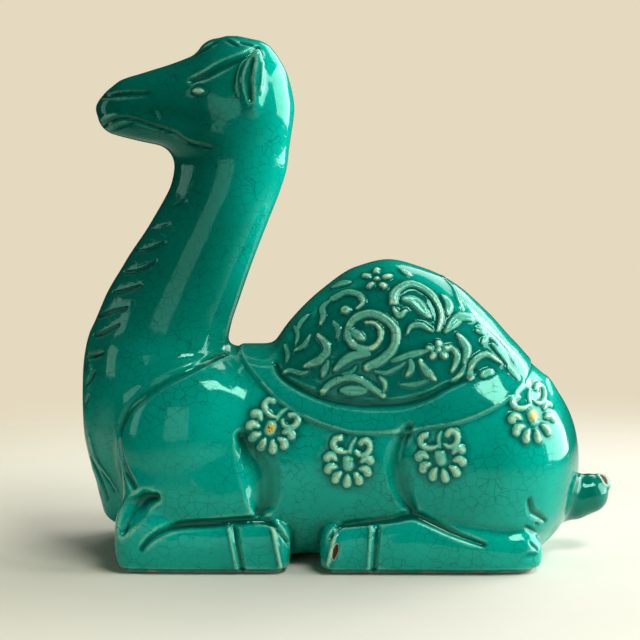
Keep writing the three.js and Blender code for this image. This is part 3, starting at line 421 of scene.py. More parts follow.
SCROLLS = [
    ([(8, 92.5), (14.5, 96), (19, 100.5), (20.5, 105.5), (19, 110.5), (13.5, 114.5), (8, 115.3), (2.5, 113),
      (-0.3, 108.5), (0, 104), (3.7, 101), (9, 100.5), (13, 103.5), (14, 108), (11.3, 111.3), (7.3, 111.6)],
     2.2, 1.9, "pointed"),
    ([(1.5, 108), (3.7, 106.2), (6.5, 104.5)], 2.32, 1.79, "leafy"),
    ([(9, 98.3), (2.3, 97.5), (-2, 95.2), (-6.5, 91)], 2.32, 1.46, "leafy"),
    ([(10.5, 91), (16, 90.3), (21.5, 92.8), (25, 95)], 1.22, 1.12, "leafy"),
    ([(-12, 80.8), (-8.4, 84.8), (-1.7, 87.7), (4.6, 87), (10.8, 83), (14.8, 80.3)], 1.71, 1.57, "even"),
    ([(-3.5, 82), (7, 82.3)], 3.17, 1.34, "leafy"),
    ([(13, 88.8), (15.7, 85.7), (15.3, 82)], 1.46, 1.34, "leafy"),
    ([(-13.7, 105.5), (-10.6, 102.3), (-9.7, 99), (-12.8, 95), (-19.6, 92)], 2.32, 1.68, "leafy"),
    ([(-9.3, 95), (-10.6, 91), (-12, 87.8)], 1.71, 1.34, "leafy"),
    ([(-30, 88), (-26.4, 89.3), (-21.4, 88.7), (-18.2, 89.7)], 1.46, 1.23, "leafy"),
    ([(-7.5, 120), (-1, 123.5), (4.8, 122.8), (6.4, 119.9), (3.6, 117.2)], 2.07, 1.57, "pointed"),
    ([(-1.7, 116.5), (-1, 116.3)], 2.44, 1.68, "even"),
    ([(-6.5, 125), (-2.8, 126.8), (1, 127.5)], 2.44, 1.34, "leafy"),
    ([(-7.8, 119.7), (-11.5, 116.5), (-11, 113.3), (-12.4, 109.8)], 2.07, 1.46, "leafy"),
    ([(-17.5, 113), (-21, 109.5), (-23, 105.5)], 2.2, 1.46, "leafy"),
    ([(19.5, 119.5), (20.3, 124), (25.6, 127.3), (31.1, 126.3), (36.5, 122.7), (39.7, 118), (40.6, 113.3),
      (39, 108)], 2.2, 1.8, "pointed"),
    ([(24, 121.5), (28.1, 120.8), (31.7, 117.8), (35, 114)], 3.17, 1.46, "leafy"),
    ([(19.5, 118), (22, 114.5), (25.3, 117)], 1.71, 1.46, "leafy"),
    ([(41.6, 122), (44, 119), (43.5, 114.5)], 2.07, 1.46, "leafy"),
    ([(25.5, 107), (27.5, 110.3), (32, 110.5), (37, 107.8)], 1.59, 1.34, "leafy"),
    ([(18.8, 95.5), (26, 97.7), (34.5, 99.8)], 1.83, 1.34, "leafy"),
    ([(26.8, 95.9), (27.4, 92.4), (25.1, 88.8)], 1.83, 1.34, "leafy"),
    ([(30.9, 95.4), (34.9, 89.8), (38, 87.2)], 2.07, 1.46, "leafy"),
    ([(44.4, 101.7), (47.6, 96.8), (45.2, 90.4)], 1.71, 1.57, "leafy"),
    ([(47.8, 106.2), (51.7, 100.2), (50.7, 94)], 2.07, 1.57, "leafy"),
    ([(42.5, 107.5), (48.6, 113), (56.5, 111.7)], 2.68, 1.46, "leafy"),
    ([(53.6, 87.5), (54.6, 94), (60.5, 97.3), (67.2, 93)], 1.83, 1.57, "pointed"),
    ([(56.5, 107), (64, 103.5), (70.5, 94.5)], 2.2, 1.46, "leafy"),
    ([(59.5, 88.5), (62, 89.5)], 2.32, 1.34, "even"),
    ([(70.5, 91), (75, 85.5)], 1.95, 1.23, "leafy"),
    ([(-24.3, 107.9), (-22.4, 104.7), (-23.3, 100.5)], 1.5, 1.3, "leafy"),
    ([(-28.8, 100.1), (-26.9, 96.4), (-27.8, 92.5)], 1.5, 1.2, "leafy"),
    ([(-16.9, 105.2), (-19.6, 100.8), (-24.1, 97.9)], 1.5, 1.3, "leafy"),
    ([(-7, 111.8), (-4.3, 108.5), (-5.2, 104.2)], 1.3, 1.1, "leafy"),
    ([(3.2, 93.1), (1, 90.4), (-3.5, 89.4)], 1.2, 1, "leafy"),
    ([(22.4, 85.2), (28.6, 85.2), (34.9, 87)], 1.4, 1, "leafy"),
    ([(57.2, 109.2), (60.8, 105.2), (58.7, 101.6)], 1.8, 1.3, "leafy"),
    ([(63.5, 101.2), (68, 96.2), (70.7, 91.8)], 1.7, 1.3, "leafy"),
    ([(51.1, 92.9), (49.3, 89.4), (45.6, 86)], 1.6, 1.2, "leafy"),
    ([(23.2, 133.2), (27.2, 130.7)], 1.9, 1.3, "leafy"),
    ([(42.6, 129.1), (47.1, 124.7), (48.9, 119.6), (50.5, 115.8)], 1.1, 0.9, "leafy"),
    ([(55.5, 112.2), (62.4, 105.8), (69.2, 98.6), (74.6, 91.4)], 1.1, 0.9, "leafy"),
]
BLOSSOMS = [((12.6, 129.4), 4.4, 1.9), ((39.2, 99.8), 3.7, 1.8)]
MEDALLIONS = [((-35.1, 65.9), -25), ((-0.6, 50.8), 0), ((40.3, 54), 16), ((81.2, 70.8), 17)]
PETALS = {"count": 7, "first": 167, "last": 365, "outer": 9.7, "middle": 8.3, "inner": 5.8, "bend": 10}
PETAL_STROKE = (2.3, 1.7, "pointed")
HOOK_STROKE = (1.75, 1.6, "pointed")
BOSS_STROKE = (2.9, 1.4, "even")
STEM_STROKE = (1.3, 1, "leafy")
BOSS = [(-0.2, 1.4), (-0.2, -1.7)]
STEM = [(0.9, 4), (1.1, 7.4), (3.3, 10.9)]
HOOKS = [
    [(5.5, 8.7), (7.3, 9.8), (9.3, 8.3), (9.3, 5.6), (7.3, 3.6), (4.7, 3.4), (2.9, 5.1)],
    [(-3.8, 10.7), (-6, 10.2), (-6.9, 7.8), (-5.3, 5.6), (-2.4, 4.7), (0.2, 5.1)],
]

CREASES = [
    ([(-33.5, 92), (-30.4, 87), (-23.6, 83), (-13.3, 79), (-3, 76.7), (10.8, 75.7), (23.7, 76.4),
      (34.6, 79.5), (43.4, 84), (51, 87), (55.7, 91)], 3.1, 1.9, "leafy"),
    ([(-56.3, 96), (-65.6, 93.5), (-81, 87.3), (-92.4, 79.7), (-100.6, 70.8), (-104, 60), (-101.5, 47.5),
      (-96.4, 39.3)], 4, 1.6, "leafy"),
    ([(-93, 12), (-89.2, 16.5), (-83.3, 20.3), (-75.8, 22.4), (-64.2, 23.3), (-52.6, 24), (-42.4, 24.5),
      (-35.7, 23.4), (-31, 20), (-27.2, 14)], 3, 2, "leafy"),
    ([(-8.8, 17), (-6, 20.3), (-3, 22), (11.8, 24.1), (20.2, 25.4), (29, 26.8), (37.5, 23.5), (47.2, 19.2),
      (59.7, 14.5)], 2.8, 2, "leafy"),
    ([(-47.6, 61.6), (-44, 54.5), (-40, 44.7), (-38.8, 32), (-40, 26)], 10, 3.4, "leafy"),
    ([(26, 66), (22, 57), (21.4, 49.5), (24, 37), (28.3, 28.5)], 6.5, 2.1, "leafy"),
    ([(-87, 35), (-93, 33), (-99, 26), (-102, 20)], 7, 4, "leafy"),
    ([(79.7, 34.6), (81.4, 28.7), (85, 25.7), (88.5, 22.4)], 2.6, 1.4, "leafy"),
    ([(-51.7, 22.5), (-47.9, 1.5)], 1.8, 1.1, "even"),
    ([(12.1, 24), (10.8, 1.5)], 1.8, 1.1, "even"),
]
HOOF_RIDGES = [
    ([(-34.5, 22), (-31, 4)], 1.3, 0.9, "even"),
    ([(-6, 21), (-9.7, 5)], 1.3, 0.9, "even"),
    ([(-54.2, 22), (-50.5, 3)], 1, 0.6, "even"),
    ([(9.4, 22.5), (8.2, 3)], 1, 0.6, "even"),
]
HOCK_HAIR = [
    ([(78.2, 21.6), (83.7, 17.9)], 1, 1.1, "leafy"),
    ([(83, 22.7), (85.2, 21.1)], 1, 1.1, "leafy"),
    ([(80.5, 14.7), (84.2, 11.1)], 1, 1.1, "leafy"),
    ([(77.9, 9.4), (83.5, 9.7)], 1, 1.1, "leafy"),
]
FACE_CUTS = [
    ([(-112.5, 199), (-108, 201.6), (-103.3, 202.9), (-97.8, 202.3), (-88.7, 199.4), (-79.6, 196.2),
      (-72.4, 191.8), (-63, 189.5)], 1.1, 1, "even"),
    ([(-110, 196.5), (-104, 198.7), (-98, 200.5)], 0.9, 0.8, "leafy"),
    ([(-114.1, 212.9), (-109.5, 212.8), (-101.3, 213.5), (-89.8, 213.7)], 1.1, 1.2, "leafy"),
    ([(-71.8, 214.4), (-68.5, 217.6), (-63.4, 215.8)], 0.7, 0.6, "leafy"),
    ([(-71.4, 213.6), (-67.3, 212.3), (-63.4, 214.4)], 0.6, 0.5, "leafy"),
    ([(-41.3, 234.7), (-45.2, 231.5), (-51.4, 228.8), (-58, 225.6), (-64.3, 222.1), (-71, 219.5)],
     2.8, 1.9, "leafy"),
    ([(-43.4, 229), (-44.4, 225.9), (-45.3, 219.8), (-44.4, 211)], 2.6, 2, "leafy"),
]
FACE_RIDGES = [
    ([(-70, 215.1), (-65.2, 214.9)], 1.9, 1.1, "leafy"),
    ([(-113.6, 201.7), (-110.5, 203.6), (-105.5, 204.9)], 1.2, 0.7, "leafy"),
    ([(-88.5, 206.5), (-86.6, 204), (-88, 201.6)], 1, 0.4, "leafy"),
    ([(-42.6, 232.1), (-46.9, 228.8), (-49.4, 223.4), (-50.3, 217.6), (-49.9, 212.3)], 1, 0.8, "leafy"),
    ([(-39.4, 233.4), (-38.7, 228.6), (-39.1, 222), (-40, 214.5)], 1, 0.7, "leafy"),
    ([(-119.9, 56.4), (-117.4, 46.3), (-111.6, 38.2), (-106.8, 31.6)], 1.3, 0.8, "leafy"),
]
HAIR = [
    ([(-80.2, 162.7), (-76.9, 163.7), (-74, 165.6)], 1, 0.7, "leafy"),
    ([(-91.2, 152.4), (-86.2, 153.1), (-81.4, 154.7)], 1, 0.7, "leafy"),
    ([(-99.4, 142.1), (-90.8, 143.2), (-83.6, 146.6)], 1.1, 1, "leafy"),
    ([(-104.4, 132.5), (-95.4, 133.7), (-87.7, 138.1)], 1.2, 1.1, "leafy"),
    ([(-109, 123), (-102.4, 124.4), (-94.6, 127.2)], 1.3, 1.2, "leafy"),
    ([(-116.5, 111.4), (-109, 114.7), (-101.1, 117.2)], 1.3, 1.2, "leafy"),
    ([(-118, 103.1), (-112.2, 105.2), (-104.7, 109.5)], 1.4, 1.3, "leafy"),
    ([(-121, 93.6), (-116, 95), (-111.7, 97.1)], 1.4, 1.3, "leafy"),
    ([(-121.9, 79.8), (-119.1, 83.3), (-116.4, 87.8)], 1.3, 1.2, "leafy"),
    ([(-122.1, 70.9), (-119.7, 76.2)], 1.2, 1.1, "leafy"),
    ([(-120.5, 46), (-116.5, 38.2), (-113.9, 32.1), (-112.1, 26.5)], 1.5, 1.4, "leafy"),
    ([(-114.5, 40.5), (-110.4, 35.1), (-108.4, 31.1)], 1.1, 1, "leafy"),
    ([(-119.6, 38.2), (-118, 32.1), (-115.4, 27)], 1.2, 1, "leafy"),
    ([(-60.3, 237.1), (-65.3, 233.9), (-71.3, 230.4)], 1.5, 1.3, "leafy"),
    ([(-55.8, 238.4), (-53, 237), (-50.2, 235.1)], 1.4, 1.2, "leafy"),
    ([(-50.3, 237), (-47.1, 236.5), (-43.5, 235.4)], 1.3, 1.1, "leafy"),
]
CHIPS = [
    ([(-110.5, 217), (-108.5, 217.8)], 1.2, 0.7, "leafy"),
    ([(-5.8, 14.4), (-6.4, 11.4), (-7.3, 7.8)], 1.5, 1.4, "leafy"),
    ([(118.6, 37.4), (120.6, 35), (121.2, 33)], 2.3, 1.0, "leafy"),
]
CLOTH_EDGE = [(-52, 101), (-49, 94), (-40, 84.5), (-31, 76.5), (-20, 70.5), (-8, 66), (5, 63.5), (23, 64),
              (36, 66.5), (49, 69), (62, 74), (71, 78.5), (79, 84.5), (87, 94)]
CLOTH = 1.2
CLOTH_TONE = 0.4
RIB = 0.5
PANEL_EDGE = [(-33.5, 92), (-29, 101), (-19, 112), (-8, 122.5), (4, 129), (14, 132.5), (26, 131),
              (36, 127), (44, 121), (50, 115), (58, 109), (68, 99), (75, 88), (66, 87.5), (55.7, 91),
              (51, 87), (43.4, 84), (34.6, 79.5), (23.7, 76.4), (10.8, 75.7), (-3, 76.7), (-13.3, 79),
              (-23.6, 83), (-30.4, 87)]


def medallion(centre, turn):
    """Flower medallion below the cloth: comma petals, two hooked leaves, a boss and a stem."""
    cos, sin = math.cos(math.radians(turn)), math.sin(math.radians(turn))

    def put(points):
        u, v = np.array(points, float).T
        return np.stack([centre[0] + u * cos - v * sin, centre[1] + u * sin + v * cos], -1)

    def spoke(angle, r):
        return r * math.cos(math.radians(angle)), r * math.sin(math.radians(angle))

    lines = []
    for along in np.linspace(0, 1, PETALS["count"]):
        angle = PETALS["first"] + (PETALS["last"] - PETALS["first"]) * along
        arched = angle + PETALS["bend"] * (2 * along - 1)
        ends = spoke(angle, PETALS["outer"]), spoke(angle, PETALS["inner"])
        petal = [ends[0], spoke(arched, PETALS["middle"]), ends[1]]
        lines.append((put(petal), *PETAL_STROKE))
    for hook in HOOKS:
        lines.append((put(hook), *HOOK_STROKE))
    lines.append((put(BOSS), *BOSS_STROKE))
    lines.append((put(STEM), *STEM_STROKE))
    return lines


def blossom(centre, reach, petal):
    """Rosette of five round petals among the scrolls."""
    x, z = centre
    lines = [([(x - 0.3, z), (x + 0.3, z)], 1.3, 1.9, "even")]
    for a in np.radians(90 + 72 * np.arange(5)):
        across, up = reach * 1.25 * math.cos(a), reach * 0.85 * math.sin(a)
        lines.append(([(x + across, z + up), (x + 0.7 * across, z + 0.7 * up)], petal, 1.5, "even"))
    return lines


def raised_lines():
    """Raised strokes; those of the scrolls are grooved along their middle."""
    lines = [(*scroll, RIB) for scroll in SCROLLS] + HOOF_RIDGES + FACE_RIDGES
    lines.append((CLOTH_EDGE[2:-1], 0.9, 0.5, "even"))
    for centre, turn in MEDALLIONS:
        lines = lines + medallion(centre, turn)
    for centre, reach, petal in BLOSSOMS:
        lines = lines + blossom(centre, reach, petal)
    return lines


def put_object(name, data):
    """A new object in the scene."""
    thing = bpy.data.objects.new(name, data)
    bpy.context.scene.collection.objects.link(thing)
    return thing


def store_values(mesh, name, values):
    mesh.attributes.new(name, "FLOAT", "POINT").data.foreach_set("value", values)


def read_values(items, key, kind=float, each=3):
    """Values of all items in rows of three, where each item gives one or three."""
    values = np.empty(len(items) * each, kind)
    items.foreach_get(key, values)
    return values.reshape(-1, 3)


def lay_lines(name, lines, near_only=False):
    """Lines on the skin as edges, each point with its half width, height and share of middle groove."""
    points, edges, half, high, ribs, start = [], [], [], [], [], 0
    for stroke, wide, height, kind, *rib in lines:
        path = smooth_line(stroke)
        t = np.linspace(0, 1, len(path))
        y = side_of(path[:, 0], path[:, 1])
        padded = np.pad(y, 3, mode="edge")
        y = np.convolve(padded, np.ones(7) / 7, mode="valid")
        for side in (-1,) if near_only else (-1, 1):
            points.append(np.stack([path[:, 0], side * y, path[:, 1]], -1))
            half.append(wide * TAPERS[kind](t))
            high.append(np.full(len(path), height))
            ribs.append(np.full(len(path), sum(rib) / MM))
            edges += [(start + i, start + i + 1) for i in range(len(path) - 1)]
            start += len(path)
    mesh = bpy.data.meshes.new(name)
    mesh.from_pydata((np.concatenate(points) * MM).tolist(), edges, [])
    for key, values in (("half", half), ("high", high), ("rib", ribs)):
        store_values(mesh, key, np.concatenate(values) * MM)
    return put_object(name, mesh)


def depth_inside(edge, x, z):
    """Distance of side view points to a closed outline, below zero outside it."""
    nearest, inside = np.full(x.shape, 1e3), np.zeros(x.shape, bool)
    for (ax, az), (bx, bz) in zip(edge, np.roll(edge, -1, 0)):
        dx, dz = bx - ax, bz - az
        t = np.clip(((x - ax) * dx + (z - az) * dz) / (dx * dx + dz * dz), 0, 1)
        nearest = np.minimum(nearest, np.hypot(x - ax - t * dx, z - az - t * dz))
        if dz:
            inside ^= ((az > z) != (bz > z)) & (x < ax + dx * (z - az) / dz)
    return np.where(inside, nearest, -nearest)


def cloth_height(x, z):
    """Thickness of the saddle cloth at side view points."""
    edge = np.vstack([smooth_line(CLOTH_EDGE, 2), [(96, 150), (-28, 150)]])
    return CLOTH * rise(depth_inside(edge, x, z), -0.4, 0.4) * ((x > -60) & (z > 55))


# Node trees

def add(tree, kind, inputs=(), **settings):
    """A node with its settings, its inputs linked from sockets or set to values."""
    node = tree.nodes.new(kind)
    for key, value in settings.items():
        setattr(node, key, value)
    for key, value in dict(inputs).items():
        if isinstance(value, bpy.types.NodeSocket):
            tree.links.new(value, node.inputs[key])
        else:
            node.inputs[key].default_value = value
    return node


def math_node(tree, operation, *values, clamp=False):
    return add(tree, "ShaderNodeMath", enumerate(values), operation=operation, use_clamp=clamp).outputs[0]


def vector_node(tree, operation, *values, output=0):
    return add(tree, "ShaderNodeVectorMath", enumerate(values), operation=operation).outputs[output]


def named_value(tree, name):
    kind = "GeometryNodeInputNamedAttribute"
    return add(tree, kind, {"Name": name}, data_type="FLOAT").outputs["Attribute"]


def product(tree, a, b):
    return math_node(tree, "MULTIPLY", a, b)


def stored(tree, shape, name, value, kind="FLOAT"):
    """The geometry with a named value kept at its points."""
    source = {"Geometry": shape, "Name": name, "Value": value}
    node = add(tree, "GeometryNodeStoreNamedAttribute", source, data_type=kind, domain="POINT")
    return node.outputs["Geometry"]


def new_group(kind, name, inputs, outputs):
    """Node group with named inputs of kind and default, and named outputs of kind."""
    tree = bpy.data.node_groups.new(name, kind)
    for label, (socket_kind, default) in inputs.items():
        socket = tree.interface.new_socket(label, in_out="INPUT", socket_type="NodeSocket" + socket_kind)
        if default is not None:
            socket.default_value = default
    for label, socket_kind in outputs.items():
        tree.interface.new_socket(label, in_out="OUTPUT", socket_type="NodeSocket" + socket_kind)
    return tree, tree.nodes.new("NodeGroupInput").outputs, tree.nodes.new("NodeGroupOutput").inputs


def new_shape_tree(name, inputs):
    """Geometry group for a modifier, with a geometry in and out."""
    inputs = {"Geometry": ("Geometry", None), **inputs}
    tree, given, result = new_group("GeometryNodeTree", name, inputs, {"Geometry": "Geometry"})
    tree.is_modifier = True
    return tree, given, result


def relief_tree():
    """Stores the height of the nearest line at each point of the skin, and how near it is."""
    tree, given, result = new_shape_tree("Relief along lines", {
        "Lines": ("Object", None), "Spacing": ("Float", 0.25 * MM),
        "Height": ("Float", 1.0), "Halo": ("Float", 2.2 * MM),
        "Softness": ("Float", 1.0), "Core": ("Float", 1.0),
        "Mark": ("String", "raised"), "Halo mark": ("String", "raised_halo"),
    })
    lines = add(tree, "GeometryNodeObjectInfo", {"Object": given["Lines"]}).outputs["Geometry"]
    curves = add(tree, "GeometryNodeMeshToCurve", {"Mesh": lines}).outputs["Curve"]
    spaced = {"Curve": curves, "Length": given["Spacing"]}
    even = add(tree, "GeometryNodeResampleCurve", spaced, mode="LENGTH").outputs[0]
    beads = add(tree, "GeometryNodeCurveToPoints", {"Curve": even}, mode="EVALUATED").outputs["Points"]
    place = add(tree, "GeometryNodeInputPosition").outputs[0]
    from_here = {"Geometry": beads, "Sample Position": place}
    nearest = add(tree, "GeometryNodeSampleNearest", from_here).outputs["Index"]

    def bead(kind, value):
        source = {"Geometry": beads, "Value": value, "Index": nearest}
        return add(tree, "GeometryNodeSampleIndex", source, data_type=kind).outputs["Value"]

    half, high = bead("FLOAT", named_value(tree, "half")), bead("FLOAT", named_value(tree, "high"))
    away = vector_node(tree, "DISTANCE", place, bead("FLOAT_VECTOR", place), output="Value")
    share = math_node(tree, "DIVIDE", away, half)
    full = math_node(tree, "SUBTRACT", 1.0, math_node(tree, "POWER", share, 2.5), clamp=True)
    fall = math_node(tree, "POWER", full, given["Softness"])
    middle = math_node(tree, "SUBTRACT", 1.0, product(tree, share, 2.0), clamp=True)
    groove = product(tree, middle, bead("FLOAT", named_value(tree, "rib")))
    dome = product(tree, fall, math_node(tree, "SUBTRACT", 1.0, groove))
    scaled = product(tree, product(tree, dome, high), given["Height"])
    core = product(tree, half, given["Core"])
    beside = math_node(tree, "DIVIDE", math_node(tree, "SUBTRACT", away, core), given["Halo"])
    near = math_node(tree, "SUBTRACT", 1.0, beside, clamp=True)
    halo = product(tree, near, math_node(tree, "DIVIDE", high, 1.4 * MM, clamp=True))
    marked = stored(tree, given["Geometry"], given["Mark"], scaled)
    tree.links.new(stored(tree, marked, given["Halo mark"], halo), result["Geometry"])
    return tree


def glazed_skin_tree():
    """Pushes the skin out by its relief, softened as under glaze, and stores where glaze pools."""
    tree, given, result = new_shape_tree("Glazed skin", {
        "Relief rounds": ("Int", 3), "Skin rounds": ("Int", 2),
        "Fine rounds": ("Int", 14), "Wide rounds": ("Int", 160),
        "Glaze": ("Material", None),
    })

    def blurred(value, rounds, kind):
        source = {"Value": value, "Iterations": rounds}
        return add(tree, "GeometryNodeBlurAttribute", source, data_type=kind).outputs["Value"]

    place = add(tree, "GeometryNodeInputPosition").outputs[0]
    normal = add(tree, "GeometryNodeInputNormal").outputs[0]
    up = math_node(tree, "ADD", named_value(tree, "raised"), named_value(tree, "cloth"))
    down = math_node(tree, "ADD", named_value(tree, "cut"), named_value(tree, "chip"))
    height = blurred(math_node(tree, "SUBTRACT", up, down), given["Relief rounds"], "FLOAT")
    offset = vector_node(tree, "SCALE", normal, (0, 0, 0), (0, 0, 0), height)
    pushed = add(tree, "GeometryNodeSetPosition", {
        "Geometry": given["Geometry"], "Offset": offset,
    }).outputs["Geometry"]
    rounded = add(tree, "GeometryNodeSetPosition", {
        "Geometry": pushed, "Position": blurred(place, given["Skin rounds"], "FLOAT_VECTOR"),
    }).outputs["Geometry"]
    for mark, rounds in (("pool_fine", "Fine rounds"), ("pool_wide", "Wide rounds")):
        drift = vector_node(tree, "SUBTRACT", blurred(place, given[rounds], "FLOAT_VECTOR"), place)
        depth = vector_node(tree, "DOT_PRODUCT", drift, normal, output="Value")
        rounded = stored(tree, rounded, mark, depth)
    facing = stored(tree, rounded, "facing", normal, "FLOAT_VECTOR")
    solid = add(tree, "GeometryNodeRealizeInstances", {"Geometry": facing}).outputs["Geometry"]
    coat = {"Geometry": solid, "Material": given["Glaze"]}
    tree.links.new(add(tree, "GeometryNodeSetMaterial", coat).outputs["Geometry"], result["Geometry"])
    return tree


def put_modifier(piece, tree, values):
    """Adds a geometry tree to a piece and sets its inputs by identifier."""
    modifier = piece.modifiers.new(tree.name, "NODES")
    modifier.node_group = tree
    sockets = {s.name: s.identifier for s in tree.interface.items_tree if s.in_out == "INPUT"}
    for label, value in values.items():
        modifier[sockets[label]] = value


def plain_mesh(piece, name):
    """The piece's evaluated shape as a mesh of its own."""
    graph = bpy.context.evaluated_depsgraph_get()
    graph.update()
    shown = piece.evaluated_get(graph)
    mesh = bpy.data.meshes.new_from_object(shown, preserve_all_data_layers=True, depsgraph=graph)
    mesh.name = name
    return mesh


def swap_mesh(piece, mesh):
    piece.modifiers.clear()
    old, piece.data = piece.data, mesh
    bpy.data.meshes.remove(old)


# Finishes

def noise(tree, place, scale, detail):
    return add(tree, "ShaderNodeTexNoise", {"Vector": place, "Scale": scale, "Detail": detail})


def map_range(tree, value, low, high, to_low=0.0, to_high=1.0, kind="LINEAR"):
    source = {0: value, 1: low, 2: high, 3: to_low, 4: to_high}
    return add(tree, "ShaderNodeMapRange", source, interpolation_type=kind, clamp=True).outputs[0]


def mix_colour(tree, share, a, b):
    return add(tree, "ShaderNodeMix", {0: share, 6: a, 7: b}, data_type="RGBA").outputs[2]


def crackle_group():
    """Fine dark cracks of the glaze: 1 on a crack and 0 beside it."""
    group, given, result = new_group("ShaderNodeTree", "Crackle", {
        "Place": ("Vector", None), "Cells per metre": ("Float", 220),
        "Line": ("Float", 0.045), "Drift": ("Float", 0.0012),
    }, {"Cracks": "Float"})
    wander = noise(group, given["Place"], 420, 2).outputs["Color"]
    centred = vector_node(group, "SUBTRACT", wander, (0.5, 0.5, 0.5))
    shift = vector_node(group, "SCALE", centred, (0, 0, 0), (0, 0, 0), given["Drift"])
    moved = vector_node(group, "ADD", given["Place"], shift)
    cells = add(group, "ShaderNodeTexVoronoi", {"Vector": moved, "Scale": given["Cells per metre"]},
                feature="DISTANCE_TO_EDGE").outputs["Distance"]
    line = map_range(group, cells, 0.0, given["Line"], 1.0, 0.0)
    strong = map_range(group, noise(group, given["Place"], 60, 1).outputs["Fac"], 0.38, 0.6, 0.35, 1.0)
    group.links.new(product(group, line, strong), result["Cracks"])
    return group


def speck_group():
    """Scattered small specks and soft blotches, for glaze and bare clay."""
    group, given, result = new_group("ShaderNodeTree", "Specks", {
        "Place": ("Vector", None), "Specks per metre": ("Float", 500),
        "Rarity": ("Float", 0.13), "Blotches per metre": ("Float", 45),
    }, {"Specks": "Float", "Blotches": "Float"})
    place = given["Place"]
    dots = add(group, "ShaderNodeTexVoronoi", {"Vector": place, "Scale": given["Specks per metre"]}).outputs
    dot = map_range(group, dots["Distance"], 0.1, 0.28, 1.0, 0.0)
    draw = add(group, "ShaderNodeSeparateColor", {0: dots["Color"]}).outputs[0]
    chance = math_node(group, "LESS_THAN", draw, given["Rarity"])
    group.links.new(product(group, dot, chance), result["Specks"])
    blotches = noise(group, place, given["Blotches per metre"], 3).outputs["Fac"]
    group.links.new(blotches, result["Blotches"])
    return group


def new_material(name):
    material = bpy.data.materials.new(name)
    material.use_nodes = True
    tree = material.node_tree
    shader = tree.nodes["Principled BSDF"]
    return material, tree, shader


def mark(tree, name):
    return add(tree, "ShaderNodeAttribute", {}, attribute_name=name).outputs["Fac"]


# Where the painted shade lies: the neck and head forward and up, the outer rump and tail at the back
NECK_FORWARD = (-0.035, -0.07)
NECK_UP = (0.06, 0.14)
RUMP_BACK = (0.088, 0.106)
CREST = (0.35 * MM, 1.0 * MM)
CHIP_RIM = (0.1 * MM, 0.35 * MM)
CHIP_FLOOR = (0.45 * MM, 0.8 * MM)


def glaze_material(look, crackle, specks):
    """Turquoise glaze: thin and pale on crests, dark where it pools, with painted shade on the neck, head,
    outer rump and tail; crackled and very glossy.
    """
    material, tree, shader = new_material("turquoise_glaze")
    place = add(tree, "ShaderNodeTexCoord").outputs["Object"]
    fine, raised, chip = mark(tree, "pool_fine"), mark(tree, "raised"), mark(tree, "chip")
    flow = map_range(tree, noise(tree, place, 28, 3).outputs["Fac"], 0.3, 0.7, -0.3, 0.3)
    wide = map_range(tree, mark(tree, "pool_wide"), 0.0, look.wide_pool)
    along, _, up = add(tree, "ShaderNodeSeparateXYZ", {0: place}).outputs
    # Painted shade: the neck, head, outer rump and tail are darkened towards the deep body and ground
    # colours
    forward = map_range(tree, along, *NECK_FORWARD, kind="SMOOTHSTEP")
    raised_part = map_range(tree, up, *NECK_UP, 0.0, look.painted_shade, "SMOOTHSTEP")
    rear = map_range(tree, along, *RUMP_BACK, 0.0, look.painted_shade, "SMOOTHSTEP")
    painted_shade = math_node(tree, "MAXIMUM", product(tree, forward, raised_part), rear)
    depth = math_node(tree, "ADD", math_node(tree, "ADD", wide, flow), painted_shade, clamp=True)
    panel, amber = mark(tree, "panel"), mark(tree, "amber")
    crest = map_range(tree, raised, *CREST)
    halo = product(tree, mark(tree, "raised_halo"), math_node(tree, "SUBTRACT", 1.0, crest))
    pooled = math_node(tree, "MAXIMUM", map_range(tree, fine, 0.0, look.fine_pool, kind="SMOOTHSTEP"),
                       product(tree, mark(tree, "cut_halo"), 0.6))
    pooled = math_node(tree, "MAXIMUM", pooled, product(tree, halo, 0.85))
    worn = math_node(tree, "SUBTRACT", product(tree, fine, -1.0), 0.1 * MM)
    ridge = map_range(tree, worn, 0.0, look.ridge, kind="SMOOTHSTEP")
    tinted = product(tree, crest, math_node(tree, "MULTIPLY_ADD", panel, -0.3, 0.8))
    both = math_node(tree, "MAXIMUM", product(tree, ridge, 0.9), tinted)
    sharp = map_range(tree, product(tree, ridge, crest), 0.4, 1.0, 0.0, 0.8)
    cracks = add(tree, "ShaderNodeGroup", {"Place": place}, node_tree=crackle).outputs["Cracks"]
    spots = add(tree, "ShaderNodeGroup", {"Place": place}, node_tree=specks).outputs["Specks"]
    iron = map_range(tree, noise(tree, place, 900, 1).outputs["Fac"], 0.58, 0.64)
    rim = map_range(tree, chip, *CHIP_RIM)
    colour = (*look.body, 1)
    for share, tint in (
            (depth, look.deep_glaze_and_shade), (painted_shade, look.ground),
            (product(tree, panel, 0.75), look.ground),
            (product(tree, pooled, 0.85), look.pool), (both, look.pale), (sharp, look.thin),
            (product(tree, cracks, 0.62), look.crack),
            (product(tree, spots, 0.5), look.shade), (amber, look.amber),
            (product(tree, iron, amber), look.chip), (rim, look.clay),
            (map_range(tree, chip, *CHIP_FLOOR), look.chip)):
        colour = mix_colour(tree, share, colour, (*tint, 1))
    tree.links.new(colour, shader.inputs["Base Color"])
    tree.links.new(math_node(tree, "MULTIPLY_ADD", rim, 0.7, look.gloss), shader.inputs["Roughness"])
    shader.inputs["Specular Tint"].default_value = (*look.sheen, 1)
    ripple = noise(tree, place, 90, 2).outputs["Fac"]
    height = math_node(tree, "MULTIPLY_ADD", cracks, -0.12, ripple)
    bump = add(tree, "ShaderNodeBump", {"Strength": look.ripple, "Distance": 0.001, "Height": height})
    tree.links.new(bump.outputs["Normal"], shader.inputs["Normal"])
    return material


